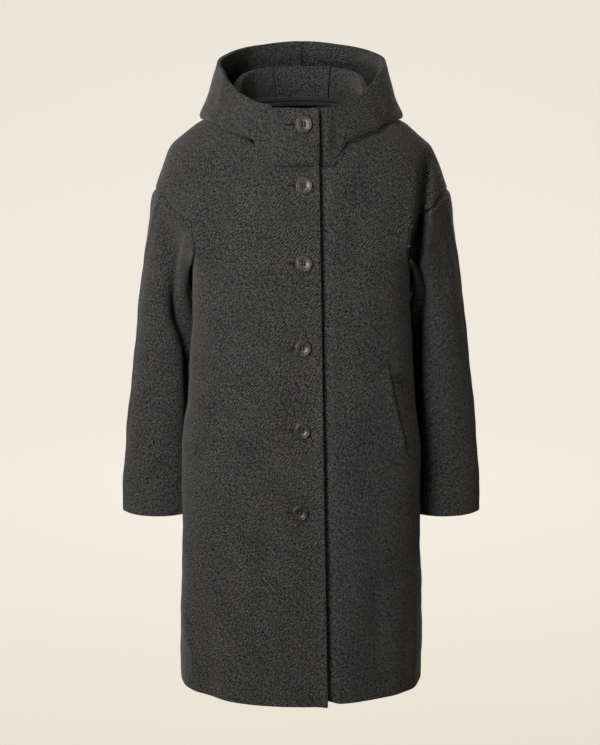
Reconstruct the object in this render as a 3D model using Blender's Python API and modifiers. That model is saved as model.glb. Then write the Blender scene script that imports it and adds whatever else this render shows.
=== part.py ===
"""Hooded wool coat, knee length, hollow as worn and buttoned: fronts, back, sleeves, hood, welts, buttons.

Metres, +Z up. The origin is the middle of the neck at shoulder height. The front faces -Y, and +X is
the wearer's left. A turn is an angle round the body in degrees: 0 at the centre front, 90 at the
wearer's left side, 180 at the centre back, negative towards the wearer's right.
"""

import bisect
import math
from collections import namedtuple

import bmesh
import bpy
from mathutils import Vector

# Cloth and seams
WALL = 0.0026
SEAM_GAP = 0.0004
LAP_GAP = 0.0007
EDGE_STRIP = 0.004

# Heights of the cut, from the neck point
HEM = -0.930
UNDERARM = -0.245
SHOULDER_TIP = -0.120
NECK_POINT = 0.0005
CUFF = -0.654

# Front lap: distance of the upper front's edge from the centre line
LAP_AT_RIM = 0.024
LAP_AT_HEM = 0.041
LAP_RISE = 0.022
UNDERLAP = 0.030
LAP_SHARE = 0.30
HEM_LIFT_UNDER = 0.012
CORNER_RADIUS = 0.009
HOOD_FRONT_HEIGHT = 0.090
FRONT_REACH_TURN = 80.0

# Sleeves
OVERARM_SEAM = 0.10
ARMHOLE_EASE = 0.30
UNDERARM_SWELL = 0.060
ARM_PRESS_TURN = 103.0
ARM_PRESS_REACH = 20.0

# Hood stand, between its two upright seams
STAND_TURN = 152.0
STAND_TOP = 2.4
STAND_SEAM_TURN = 0.25
STAND_SEAM_KNOT = 0.02
CROWN_SEAM_TURN = 0.10

# Pocket welts, by their front edge
WELT_TOP_X, WELT_TOP = 0.134, -0.388
WELT_FOOT_X, WELT_FOOT = 0.163, -0.525
WELT_WIDTH_TURN = 10.0
WELT_WALL = 0.0022
WELT_GAP = 0.0011

# Buttons
BUTTON_RADIUS = 0.0125
BUTTON_THICKNESS = 0.0042
BUTTON_RIM = 0.0032
BUTTON_DISH = 0.0012
BUTTON_HOLE_RADIUS = 0.0012
BUTTON_HOLE_OFFSET = 0.0027
BUTTON_SIDES = 16
BUTTON_GAP = 0.0006
BUTTON_HOLE_SIDES = 6

# Horizontal sections of the body, top to bottom
Section = namedtuple("Section", "height half_width front back squareness arm_press")
SECTIONS = [
    Section(0.012, 0.090, 0.050, 0.052, 2.00, 0.000),
    Section(0.000, 0.101, 0.058, 0.068, 2.00, 0.000),
    Section(-0.010, 0.133, 0.063, 0.072, 2.00, 0.000),
    Section(-0.020, 0.160, 0.069, 0.075, 2.00, 0.000),
    Section(-0.030, 0.1735, 0.079, 0.079, 2.00, 0.000),
    Section(-0.042, 0.187, 0.0935, 0.083, 2.00, 0.000),
    Section(-0.058, 0.204, 0.104, 0.088, 2.00, 0.000),
    Section(-0.075, 0.212, 0.110, 0.093, 2.00, 0.000),
    Section(-0.120, 0.2275, 0.1165, 0.103, 2.00, 0.000),
    Section(-0.145, 0.2345, 0.1185, 0.107, 2.05, 0.000),
    Section(-0.170, 0.2375, 0.1195, 0.109, 2.15, 0.000),
    Section(-0.197, 0.226, 0.121, 0.111, 2.40, 0.000),
    Section(-0.219, 0.1905, 0.1225, 0.112, 2.80, 0.030),
    Section(-0.237, 0.1745, 0.1235, 0.113, 3.00, 0.080),
    Section(-0.250, 0.174, 0.124, 0.113, 3.10, 0.105),
    Section(-0.310, 0.174, 0.127, 0.113, 3.15, 0.130),
    Section(-0.360, 0.178, 0.129, 0.111, 3.10, 0.135),
    Section(-0.450, 0.184, 0.1335, 0.111, 2.90, 0.140),
    Section(-0.500, 0.192, 0.136, 0.112, 2.80, 0.150),
    Section(-0.535, 0.196, 0.1375, 0.114, 2.70, 0.155),
    Section(-0.640, 0.198, 0.142, 0.119, 2.50, 0.168),
    Section(-0.680, 0.1985, 0.1435, 0.121, 2.42, 0.150),
    Section(-0.760, 0.1995, 0.146, 0.124, 2.28, 0.060),
    Section(-0.850, 0.1995, 0.1485, 0.127, 2.14, 0.010),
    Section(-0.930, 0.1985, 0.151, 0.130, 2.02, 0.000),
]

# Largest folds of the skirt: ridges stand out, troughs have a negative depth
Fold = namedtuple("Fold", "turn reach depth start full")
FOLDS = [
    Fold(-34.0, 9.0, 0.0025, -0.55, -0.90),
    Fold(30.0, 8.0, -0.0025, -0.50, -0.90),
    Fold(63.0, 9.0, 0.0040, -0.66, -0.90),
    Fold(-66.0, 9.0, 0.0035, -0.66, -0.90),
    Fold(128.0, 10.0, 0.0060, -0.40, -0.85),
    Fold(-134.0, 11.0, 0.0055, -0.42, -0.85),
    Fold(153.0, 8.0, -0.0045, -0.38, -0.80),
    Fold(-158.0, 9.0, -0.0050, -0.36, -0.80),
    Fold(176.0, 8.0, 0.0045, -0.34, -0.85),
]

# Neck seam
NeckPoint = namedtuple("NeckPoint", "turn height")
NECKLINE = [
    NeckPoint(0.0, -0.0750),
    NeckPoint(10.0, -0.0750),
    NeckPoint(13.0, -0.0735),
    NeckPoint(16.0, -0.0630),
    NeckPoint(20.0, -0.0490),
    NeckPoint(27.0, -0.0350),
    NeckPoint(35.0, -0.0240),
    NeckPoint(45.0, -0.0120),
    NeckPoint(60.0, -0.0045),
    NeckPoint(75.0, -0.0010),
    NeckPoint(90.0, NECK_POINT),
    NeckPoint(120.0, 0.0040),
    NeckPoint(150.0, 0.0070),
    NeckPoint(168.0, 0.0080),
    NeckPoint(180.0, 0.0080),
]

# Direction in which the hood leaves the neck seam, as an angle from the front
NeckFacing = namedtuple("NeckFacing", "turn angle")
NECK_FACINGS = [
    NeckFacing(0.0, 0.0),
    NeckFacing(10.0, 7.0),
    NeckFacing(20.0, 32.0),
    NeckFacing(27.0, 52.0),
    NeckFacing(35.0, 68.0),
    NeckFacing(45.0, 80.0),
    NeckFacing(60.0, 86.0),
    NeckFacing(75.0, 89.0),
    NeckFacing(90.0, 97.0),
    NeckFacing(105.0, 118.0),
    NeckFacing(120.0, 136.0),
    NeckFacing(150.0, 164.0),
    NeckFacing(180.0, 180.0),
]

# Armhole seam from the shoulder tip (share 0) to the underarm (share 1)
ArmholePoint = namedtuple("ArmholePoint", "share height front_turn back_turn")
ARMHOLE = [
    ArmholePoint(0.00, SHOULDER_TIP, 90.0, 90.0),
    ArmholePoint(0.10, -0.1265, 71.0, 109.0),
    ArmholePoint(0.25, -0.1450, 58.0, 122.0),
    ArmholePoint(0.45, -0.1700, 47.5, 132.0),
    ArmholePoint(0.65, -0.1970, 45.5, 133.0),
    ArmholePoint(0.80, -0.2190, 53.0, 127.0),
    ArmholePoint(0.92, -0.2370, 69.0, 112.0),
    ArmholePoint(1.00, UNDERARM, 90.0, 90.0),
]

# Sections of the hanging sleeve
SleeveSection = namedtuple("SleeveSection", "height outer half_width centre_depth half_depth")
SLEEVE = [
    SleeveSection(-0.1200, 0.2275, 0.0460, 0.012, 0.052),
    SleeveSection(-0.1375, 0.2345, 0.0470, 0.015, 0.056),
    SleeveSection(-0.1940, 0.2430, 0.0465, 0.023, 0.062),
    SleeveSection(-0.2750, 0.2560, 0.0470, 0.030, 0.063),
    SleeveSection(-0.3570, 0.2655, 0.0530, 0.030, 0.060),
    SleeveSection(-0.4400, 0.2750, 0.0560, 0.030, 0.0565),
    SleeveSection(-0.5100, 0.2835, 0.0585, 0.030, 0.0540),
    SleeveSection(-0.5550, 0.2870, 0.0600, 0.030, 0.0525),
    SleeveSection(-0.6200, 0.2925, 0.0615, 0.030, 0.0510),
    SleeveSection(CUFF, 0.2930, 0.0615, 0.030, 0.0505),
]

# Profiles of the hood, each from the neck seam to the rim: distance out of and above the neck seam
HoodProfile = namedtuple("HoodProfile", "turn stand crest fall bag corner wall rim")
HOOD = [
    HoodProfile(0.0, (0.001, 0.012), (0.001, 0.025), (0.001, 0.037), (0.000, 0.050),
                (-0.002, 0.062), (-0.005, 0.073), (-0.009, 0.0855)),
    HoodProfile(10.0, (0.001, 0.012), (0.0015, 0.024), (0.0015, 0.036), (0.000, 0.048),
                (-0.002, 0.060), (-0.006, 0.072), (-0.011, 0.0865)),
    HoodProfile(14.0, (0.001, 0.010), (0.002, 0.020), (0.0025, 0.030), (0.002, 0.041),
                (0.000, 0.053), (-0.006, 0.067), (-0.012, 0.0845)),
    HoodProfile(20.0, (0.002, 0.003), (0.004, 0.006), (0.006, 0.010), (0.0065, 0.016),
                (0.005, 0.024), (-0.001, 0.038), (-0.011, 0.0655)),
    HoodProfile(27.0, (0.003, 0.001), (0.006, 0.001), (0.009, 0.001), (0.012, 0.003),
                (0.013, 0.009), (0.007, 0.028), (-0.0085, 0.0555)),
    HoodProfile(45.0, (0.004, 0.002), (0.009, 0.001), (0.015, -0.003), (0.023, -0.008),
                (0.029, -0.004), (0.022, 0.016), (0.007, 0.0520)),
    HoodProfile(60.0, (0.000, 0.014), (0.005, 0.019), (0.015, 0.008), (0.031, -0.0120),
                (0.044, -0.008), (0.036, 0.014), (0.0215, 0.0610)),
    HoodProfile(90.0, (-0.006, 0.024), (-0.002, 0.036), (0.016, 0.018), (0.049, -0.0145),
                (0.058, -0.010), (0.0435, 0.020), (0.0300, 0.067)),
    HoodProfile(120.0, (0.000, 0.030), (0.006, 0.046), (0.030, 0.014), (0.058, -0.040),
                (0.074, -0.030), (0.072, 0.020), (0.054, 0.075)),
    HoodProfile(150.0, (0.007, 0.030), (0.018, 0.048), (0.042, -0.010), (0.074, -0.105),
                (0.094, -0.094), (0.098, -0.020), (0.082, 0.0825)),
    HoodProfile(180.0, (0.008, 0.030), (0.019, 0.047), (0.046, -0.030), (0.076, -0.138),
                (0.098, -0.125), (0.106, -0.045), (0.082, 0.0875)),
]
HOOD_KNOTS = len(HoodProfile._fields) - 1
HOOD_ROUND = [HOOD[1]._replace(turn=-HOOD[1].turn)] + HOOD + [HOOD[-2]._replace(turn=360.0 - HOOD[-2].turn)]

# Buttons down the centre front: the first is on the hood, by its place along the profile
ButtonSeat = namedtuple("ButtonSeat", "x height hood_knot")
BUTTONS = [
    ButtonSeat(0.0035, None, 5.0),
    ButtonSeat(0.004, -0.1040, None),
    ButtonSeat(0.0035, -0.2215, None),
    ButtonSeat(0.002, -0.3520, None),
    ButtonSeat(0.001, -0.4810, None),
    ButtonSeat(-0.002, -0.6110, None),
]

WOOL = (0.045, 0.043, 0.041, 1.0)
HORN = (0.100, 0.080, 0.062, 1.0)


class Curve:
    """Smooth curve through the rows of a table that never overshoots them."""

    def __init__(self, places, values):
        rows = sorted(zip(places, values))
        self.places = [row[0] for row in rows]
        self.values = [row[1] for row in rows]
        steps = [b - a for a, b in zip(self.places, self.places[1:])]
        rises = [(b - a) / s for a, b, s in zip(self.values, self.values[1:], steps)]
        self.slopes = [rises[0]]
        for left, right in zip(rises, rises[1:]):
            self.slopes.append(2 * left * right / (left + right) if left * right > 0 else 0.0)
        self.slopes.append(rises[-1])

    def __call__(self, place):
        place = min(max(place, self.places[0]), self.places[-1])
        i = min(max(bisect.bisect_right(self.places, place) - 1, 0), len(self.places) - 2)
        step = self.places[i + 1] - self.places[i]
        t = (place - self.places[i]) / step
        rest = 1.0 - t
        ends = self.values[i] * (1 + 2 * t) * rest ** 2 + self.values[i + 1] * t ** 2 * (3 - 2 * t)
        bends = self.slopes[i] * t * rest ** 2 - self.slopes[i + 1] * t ** 2 * rest
        return ends + bends * step


def columns(table):
    """One curve for each column of a table, over its first column."""
    first, *others = table[0]._fields
    places = [getattr(row, first) for row in table]
    return {name: Curve(places, [getattr(row, name) for row in table]) for name in others}


BODY = columns(SECTIONS)
ARM = columns(SLEEVE)
ARM_SEAM_HEIGHT = Curve([p.share for p in ARMHOLE], [p.height for p in ARMHOLE])
FRONT_ARMHOLE = Curve([p.height for p in ARMHOLE], [p.front_turn for p in ARMHOLE])
BACK_ARMHOLE = Curve([p.height for p in ARMHOLE], [p.back_turn for p in ARMHOLE])
NECK_SEAM = columns(NECKLINE)["height"]
NECK_FACING = columns(NECK_FACINGS)["angle"]
HOOD_TURNS = [p.turn for p in HOOD_ROUND]
HOOD_OUT = [Curve(HOOD_TURNS, [p[k][0] for p in HOOD_ROUND]) for k in range(1, HOOD_KNOTS + 1)]
HOOD_UP = [Curve(HOOD_TURNS, [p[k][1] for p in HOOD_ROUND]) for k in range(1, HOOD_KNOTS + 1)]


def blend(start, end, share):
    return start + (end - start) * share


def soft_step(share):
    share = min(max(share, 0.0), 1.0)
    return share * share * (3.0 - 2.0 * share)


def body_point(turn, height):
    """Outer face of the body at a turn and a height."""
    half_width = BODY["half_width"](height)
    square = BODY["squareness"](height)
    across = math.sin(math.radians(turn))
    along = math.cos(math.radians(turn))
    depth = BODY["front"](height) if along >= 0 else BODY["back"](height)
    swell = (abs(across) ** square + abs(along) ** square) ** (-1.0 / square)
    pressed = math.exp(-(((abs(turn) - ARM_PRESS_TURN) / ARM_PRESS_REACH) ** 2))
    x = half_width * across * swell * (1.0 - BODY["arm_press"](height) * pressed)
    y = -depth * along * swell
    stretch = 1.0
    for fold in FOLDS:
        away = (turn - fold.turn + 180.0) % 360.0 - 180.0
        strength = soft_step((fold.start - height) / (fold.start - fold.full))
        stretch += fold.depth * strength * math.exp(-((away / fold.reach) ** 2)) / math.hypot(x, y)
    return Vector((x * stretch, y * stretch, height))


def turn_at(x, height):
    """Turn on the front of the body at a distance from the centre line."""
    low, high = -FRONT_REACH_TURN, FRONT_REACH_TURN
    for _ in range(40):
        middle = (low + high) / 2
        if body_point(middle, height).x < x:
            low = middle
        else:
            high = middle
    return low


def lap_edge(height):
    """Distance of the upper front's edge from the centre line."""
    return blend(LAP_AT_HEM, LAP_AT_RIM, (height - HEM) / (HOOD_FRONT_HEIGHT - HEM))


def lapped(point):
    """Sink a point of the under front beneath the upper one."""
    if point.y > 0.0:
        return point
    sink = soft_step((lap_edge(point.z) + LAP_RISE - point.x) / (LAP_RISE - WALL))
    return point + Vector((0.0, (WALL + LAP_GAP) * sink, 0.0))


def neck_point(turn):
    return body_point(turn, NECK_SEAM(abs(turn)))


def hood_point(turn, knot):
    """Outer face of the hood: knot 0 is the neck seam and the last knot is the rim."""
    base = neck_point(turn)
    facing = math.radians(math.copysign(NECK_FACING(abs(turn)), turn))
    outward = Vector((math.sin(facing), -math.cos(facing), 0.0))
    outs = [0.0] + [curve(abs(turn)) for curve in HOOD_OUT]
    ups = [0.0] + [curve(abs(turn)) for curve in HOOD_UP]
    i = min(int(knot), HOOD_KNOTS - 1)
    t = knot - i
    place = Vector((0.0, 0.0))
    weights = (-0.5 * t * (1 - t) ** 2, 1 - 2.5 * t ** 2 + 1.5 * t ** 3,
               0.5 * t + 2 * t ** 2 - 1.5 * t ** 3, -0.5 * t ** 2 * (1 - t))
    for weight, j in zip(weights, (i - 1, i, i + 1, i + 2)):
        j = min(max(j, 0), HOOD_KNOTS)
        place += weight * Vector((outs[j], ups[j]))
    return base + outward * place.x + Vector((0.0, 0.0, place.y + SEAM_GAP))


def hood_front_point(turn, knot, edge_turn):
    """Hood point with the upper front corner of the rim rounded off."""
    from_edge = abs(neck_point(turn).x - neck_point(edge_turn).x)
    inset = max(CORNER_RADIUS - from_edge, 0.0)
    drop = CORNER_RADIUS - math.sqrt(CORNER_RADIUS ** 2 - inset ** 2)
    return hood_point(turn, knot * (1.0 - drop / HOOD_FRONT_HEIGHT))


def armhole_point(share):
    """Armhole seam of the wearer's left side: positive shares at the front, negative at the back."""
    height = ARM_SEAM_HEIGHT(abs(share))
    turns = FRONT_ARMHOLE if share >= 0 else BACK_ARMHOLE
    return body_point(turns(height), height)


def tube_point(share, height):
    """Free-hanging sleeve round its own axis, from the over-arm line (0) to the inside (1)."""
    angle = math.pi * share
    half_width = ARM["half_width"](height)
    x = ARM["outer"](height) - half_width * (1.0 - math.cos(angle))
    y = ARM["centre_depth"](height) - ARM["half_depth"](height) * math.sin(angle)
    return Vector((x, y, height))


def sleeve_point(side, share, down):
    """Outer face of a sleeve, from the armhole seam (0) to the cuff (1)."""
    start = armhole_point(share)
    height = blend(start.z, CUFF, down)
    left = max(1.0 - down / ARMHOLE_EASE, 0.0)
    point = tube_point(share, height) + (start - tube_point(share, start.z)) * left ** 2
    point.x += UNDERARM_SWELL * share ** 2 * (1.0 - left) * left ** 2
    return Vector((side * point.x, point.y, point.z))


def outward_at(surface, a, b, step_a, step_b):
    """Unit normal of a surface, pointing away from the coat's axis."""
    across = surface(a + step_a, b) - surface(a - step_a, b)
    along = surface(a, b + step_b) - surface(a, b - step_b)
    normal = across.cross(along).normalized()
    point = surface(a, b)
    return normal if normal.dot(Vector((point.x, point.y, 0.0))) > 0 else -normal


def material(name, colour, roughness):
    made = bpy.data.materials.new(name)
    made.use_nodes = True
    shader = made.node_tree.nodes["Principled BSDF"]
    shader.inputs["Base Color"].default_value = colour
    shader.inputs["Roughness"].default_value = roughness
    shader.inputs["Metallic"].default_value = 0.0
    return made


def add_object(name, mesh, made_of, collection):
    mesh.materials.append(made_of)
    mesh.shade_smooth()
    placed = bpy.data.objects.new(name, mesh)
    collection.objects.link(placed)
    return placed


def cloth(name, surface, across, along, made_of, collection, wall=WALL, outside=-1.0, cut_away=None):
    """Cloth panel: a grid laid on a surface, with its wall added by Solidify."""
    grid = bmesh.new()
    bmesh.ops.create_grid(grid, x_segments=len(across) - 1, y_segments=len(along) - 1, size=1.0)
    steps = {}
    for vert in grid.verts:
        i = round((vert.co.x + 1.0) / 2.0 * (len(across) - 1))
        j = round((vert.co.y + 1.0) / 2.0 * (len(along) - 1))
        steps[vert] = (i, j)
    if cut_away:
        unwanted = [face for face in grid.faces
                    if cut_away(sum(across[steps[v][0]] for v in face.verts) / 4,
                                sum(along[steps[v][1]] for v in face.verts) / 4)]
        bmesh.ops.delete(grid, geom=unwanted, context="FACES")
    for vert in grid.verts:
        i, j = steps[vert]
        vert.co = surface(across[i], along[j])
    mesh = bpy.data.meshes.new(name)
    grid.to_mesh(mesh)
    grid.free()
    panel = add_object(name, mesh, made_of, collection)
    thickness = panel.modifiers.new("Wall", "SOLIDIFY")
    thickness.thickness = wall
    thickness.offset = outside
    return panel


# Mesh lines: round the neck and the armhole they are shared by the pieces that meet there
NECK_TURNS = [20.0, 27.0, 35.0, 45.0, 58.0, 73.0, 90.0, 97.0, 106.0, 120.0, 136.0, STAND_TURN, 166.0, 180.0]
ARM_SHARES = [0.0, 0.05, 0.10, 0.17, 0.25, 0.35, 0.45, 0.57, 0.68, 0.80, 0.88, 0.94, 1.0]
LAP_COLUMNS = [0.0, 0.02, 0.08, 0.15, 0.20, 0.25, LAP_SHARE]
SKIRT_ROWS = 8
SHOULDER_ROWS = 4
SLEEVE_ROWS = [1.0, 0.99, 0.85, 0.70, 0.56, 0.42, 0.30, 0.20, 0.12, 0.06, 0.02, 0.0]
SLEEVE_SEAM = 0.0016
SLEEVE_STRIP = 0.012
HOOD_ROWS = [0.0, 0.06, 0.5, 1.0, 1.5, 2.0, STAND_TOP, 3.0, 3.5, 4.0, 4.5, 5.0, 5.5, 6.0, 6.5, 6.94, 7.0]
HOOD_CORNER_COLUMNS = [0.0, 0.22, 0.55, 1.0]
CROWN_COLUMNS = [166.0, 178.0, 180.0 - CROWN_SEAM_TURN]
STAND_COLUMNS = [STAND_TURN + STAND_SEAM_TURN, STAND_TURN + 2.0, 166.0, 180.0]
WELT_COLUMNS = [0.0, 0.08, 0.36, 0.64, 0.92, 1.0]
WELT_ROWS = [0.0, 0.03, 0.19, 0.34, 0.50, 0.66, 0.81, 0.97, 1.0]


def panel_levels():
    """Rows of a body panel: 0 hem, 1 underarm, 2 neck seam, with rows at the armhole's points."""
    skirt = [0.0, EDGE_STRIP] + [i / SKIRT_ROWS for i in range(1, SKIRT_ROWS)]
    rise = NECK_POINT - UNDERARM
    armhole = [1.0 + (ARM_SEAM_HEIGHT(share) - UNDERARM) / rise for share in reversed(ARM_SHARES)]
    shoulder = [blend(armhole[-1], 2.0, i / SHOULDER_ROWS) for i in range(1, SHOULDER_ROWS)]
    return skirt + armhole + shoulder + [2.0 - EDGE_STRIP, 2.0]


def panel_height(level, top, hem):
    if level <= 1.0:
        return blend(hem, UNDERARM, level)
    return blend(UNDERARM, top, level - 1.0)


def side_turn(level, armhole):
    """Turn of a panel's outer edge: side seam, armhole, then shoulder seam."""
    height = panel_height(level, NECK_POINT, HEM)
    if UNDERARM < height < SHOULDER_TIP:
        return armhole(height)
    return 90.0


def gap_turn(point):
    """Turn that covers the seam gap at a point."""
    return math.degrees(SEAM_GAP / math.hypot(point.x, point.y))


def front_turn(side, share, height, outer_turn):
    """Turn across a front: the lap takes the first shares, the rest runs evenly to the outer edge."""
    lap = lap_edge(height)
    middle = LAP_SHARE / 2
    stops = (-UNDERLAP, lap + WALL, lap + LAP_RISE) if side > 0 else (-lap, LAP_RISE / 2, lap + LAP_RISE)
    if share < middle:
        return turn_at(blend(stops[0], stops[1], share / middle), height)
    if share < LAP_SHARE:
        return turn_at(blend(stops[1], stops[2], share / middle - 1.0), height)
    return blend(turn_at(stops[2], height), outer_turn, (share - LAP_SHARE) / (1.0 - LAP_SHARE))


def front_point(side, share, level):
    """Front panel: share 0 at its front edge, 1 at the side seam, armhole and shoulder seam."""
    outer_turn = side_turn(level, FRONT_ARMHOLE)
    outer_turn -= gap_turn(body_point(outer_turn, panel_height(level, NECK_POINT, HEM)))
    under = side > 0
    hem = HEM + (HEM_LIFT_UNDER * (1.0 - share) ** 4 if under else 0.0)
    neck = NECK_SEAM(0.0)
    turn = front_turn(side, share, panel_height(level, neck, hem), outer_turn)
    top = NECK_SEAM(abs(front_turn(side, share, neck, 90.0)))
    point = body_point(side * turn, panel_height(level, top, hem))
    return lapped(point) if under else point


def front_shares():
    """Columns of a front, in line with the hood's along the neck seam."""
    neck = NECK_SEAM(0.0)
    start = turn_at(lap_edge(neck) + LAP_RISE, neck)
    chest = [blend(LAP_SHARE, 1.0, (turn - start) / (90.0 - start)) for turn in NECK_TURNS if turn < 90.0]
    return LAP_COLUMNS + chest + [1.0 - EDGE_STRIP, 1.0]


def back_point(turn_share, level):
    """Back panel from the wearer's left side (share -1) through the centre back (0) to the right."""
    outer_turn = side_turn(level, BACK_ARMHOLE)
    outer_turn += gap_turn(body_point(outer_turn, panel_height(level, NECK_POINT, HEM)))
    turn = blend(180.0, outer_turn, abs(turn_share))
    top = NECK_SEAM(blend(180.0, 90.0, abs(turn_share)))
    return body_point(turn if turn_share < 0 else -turn, panel_height(level, top, HEM))


def add_body(wool, coat):
    levels = panel_levels()
    across = front_shares()
    half_back = [(180.0 - turn) / 90.0 for turn in NECK_TURNS if turn > 90.0]
    half_back = [1.0, 1.0 - EDGE_STRIP] + half_back
    cloth("front_right", lambda s, v: front_point(-1, s, v), across[::-1], levels, wool, coat)
    cloth("front_left", lambda s, v: front_point(1, s, v), across, levels, wool, coat)
    cloth("back", back_point, [-s for s in half_back] + half_back[-2::-1], levels, wool, coat)


def add_sleeves(wool, coat):
    up = [blend(SLEEVE_SEAM, 1.0, down) for down in SLEEVE_ROWS]
    edge = [SLEEVE_SEAM, SLEEVE_STRIP]
    front = [OVERARM_SEAM + inset for inset in edge]
    front += [s for s in ARM_SHARES if OVERARM_SEAM < s < 1.0] + [1.0 - inset for inset in reversed(edge)]
    behind = [inset - 1.0 for inset in edge] + [-s for s in ARM_SHARES[-2::-1]]
    behind += [s for s in ARM_SHARES if 0.0 < s < OVERARM_SEAM]
    behind += [OVERARM_SEAM - inset for inset in reversed(edge)]
    for word, side in (("right", -1), ("left", 1)):
        for half, ring in (("front", front), ("back", behind)):
            order = ring[::-side]
            cloth(f"sleeve_{word}_{half}", lambda s, v, side=side: sleeve_point(side, s, v),
                  order, up, wool, coat)


def add_hood(wool, coat):
    neck = NECK_SEAM(0.0)
    lap = lap_edge(neck)
    stand_edge = STAND_TURN - STAND_SEAM_TURN
    corner = [CORNER_RADIUS * share for share in HOOD_CORNER_COLUMNS]
    chest = [share for share in front_shares() if LAP_SHARE / 4 < share < 1.0 - EDGE_STRIP]
    round_neck = [t for t in NECK_TURNS if 90.0 <= t < STAND_TURN] + [stand_edge] + CROWN_COLUMNS
    right_edge = turn_at(lap, neck)
    right = [-turn_at(lap - inset, neck) for inset in corner]
    right += [front_turn(-1, share, neck, 90.0) for share in chest] + round_neck
    left_edge = turn_at(-UNDERLAP, neck)
    left = [turn_at(inset - UNDERLAP, neck) for inset in corner]
    left += [front_turn(1, share, neck, 90.0) for share in chest] + round_neck

    def in_stand(turn, knot):
        return turn > stand_edge and knot < STAND_TOP

    cloth("hood_right", lambda t, k: hood_front_point(-t, k, right_edge), right[::-1], HOOD_ROWS, wool, coat,
          cut_away=in_stand)
    cloth("hood_left", lambda t, k: lapped(hood_front_point(t, k, left_edge)), left, HOOD_ROWS, wool, coat,
          cut_away=in_stand)
    stand_turns = STAND_COLUMNS + [360.0 - turn for turn in STAND_COLUMNS[-2::-1]]
    stand_knots = [k for k in HOOD_ROWS if k < STAND_TOP] + [STAND_TOP - STAND_SEAM_KNOT]
    cloth("hood_stand", lambda t, k: hood_point(t if t <= 180.0 else t - 360.0, k), stand_turns, stand_knots,
          wool, coat)


def add_welts(wool, coat):
    """Pocket welts: strips of the front's own points, moved out."""
    top_turn = turn_at(WELT_TOP_X, WELT_TOP)
    foot_turn = turn_at(WELT_FOOT_X, WELT_FOOT)

    def welt_point(side, share, rise):
        height = blend(WELT_FOOT, WELT_TOP, rise)
        turn = side * (blend(foot_turn, top_turn, rise) + WELT_WIDTH_TURN * share)
        return body_point(turn, height) + WELT_GAP * outward_at(body_point, turn, height, 0.5, 0.002)

    for word, side, across in (("right", -1, WELT_COLUMNS[::-1]), ("left", 1, WELT_COLUMNS)):
        cloth(f"welt_{word}", lambda s, r, side=side: welt_point(side, s, r), across, WELT_ROWS, wool, coat,
              WELT_WALL, 1.0)


def button_mesh():
    """Half section of a button with a raised rim and a dished middle, top centre to bottom centre."""
    dish = BUTTON_THICKNESS - BUTTON_DISH
    rim_inside = BUTTON_RADIUS - BUTTON_RIM
    bevel = BUTTON_RIM / 4
    profile = [(0.0, dish), (rim_inside - bevel, dish), (rim_inside + bevel, BUTTON_THICKNESS),
               (BUTTON_RADIUS - bevel, BUTTON_THICKNESS), (BUTTON_RADIUS, BUTTON_THICKNESS - bevel),
               (BUTTON_RADIUS, bevel), (BUTTON_RADIUS - bevel, 0.0), (0.0, 0.0)]
    mesh = bpy.data.meshes.new("button")
    edges = [(i, i + 1) for i in range(len(profile) - 1)]
    mesh.from_pydata([(r, 0.0, z) for r, z in profile], edges, [])
    return mesh


def add_buttons(horn, coat, cutters):
    for number, seat in enumerate(BUTTONS, 1):
        if seat.height is None:
            turn = turn_at(seat.x, NECK_SEAM(0.0))
            surface, place, steps = hood_point, (turn, seat.hood_knot), (0.5, 0.05)
        else:
            surface, place, steps = body_point, (turn_at(seat.x, seat.height), seat.height), (0.5, 0.002)
        normal = outward_at(surface, *place, *steps)
        button = add_object(f"button_{number}", button_mesh(), horn, coat)
        button.location = surface(*place) + normal * BUTTON_GAP
        button.rotation_euler = normal.to_track_quat("Z", "Y").to_euler()
        turned = button.modifiers.new("Turned", "SCREW")
        turned.angle = math.tau
        turned.steps = BUTTON_SIDES
        turned.render_steps = BUTTON_SIDES
        turned.use_merge_vertices = True
        turned.merge_threshold = 0.00001
        drill = bmesh.new()
        for corner in range(4):
            angle = math.pi / 4 + corner * math.pi / 2
            reach = BUTTON_HOLE_OFFSET
            hole = bmesh.ops.create_cone(drill, cap_ends=True, segments=BUTTON_HOLE_SIDES,
                                         radius1=BUTTON_HOLE_RADIUS, radius2=BUTTON_HOLE_RADIUS,
                                         depth=4 * BUTTON_THICKNESS)
            offset = Vector((reach * math.cos(angle), reach * math.sin(angle), 0.0))
            bmesh.ops.translate(drill, verts=hole["verts"], vec=offset)
        drill_mesh = bpy.data.meshes.new(f"holes_{number}")
        drill.to_mesh(drill_mesh)
        drill.free()
        cutter = bpy.data.objects.new(f"holes_{number}", drill_mesh)
        cutter.parent = button
        cutter.hide_render = True
        cutter.display_type = "WIRE"
        cutters.objects.link(cutter)
        drilled = button.modifiers.new("Holes", "BOOLEAN")
        drilled.object = cutter
        drilled.operation = "DIFFERENCE"
        drilled.solver = "EXACT"


for old in list(bpy.data.objects):
    bpy.data.objects.remove(old, do_unlink=True)
coat_collection = bpy.data.collections.new("hooded_coat")
cutter_collection = bpy.data.collections.new("cutters")
for made in (coat_collection, cutter_collection):
    bpy.context.scene.collection.children.link(made)
wool_cloth = material("charcoal wool", WOOL, 0.9)
add_body(wool_cloth, coat_collection)
add_sleeves(wool_cloth, coat_collection)
add_hood(wool_cloth, coat_collection)
add_welts(wool_cloth, coat_collection)
add_buttons(material("horn", HORN, 0.35), coat_collection, cutter_collection)
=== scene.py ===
"""Hooded wool coat, knee length, filled out as worn and buttoned, with the hood lying down.

Metres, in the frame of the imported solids: the front faces -Y and +X is the wearer's left. A turn is
an angle round the body in degrees: 0 at the centre front, 90 at the wearer's left side, 180 at the back.
"""

import math
from collections import namedtuple

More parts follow.
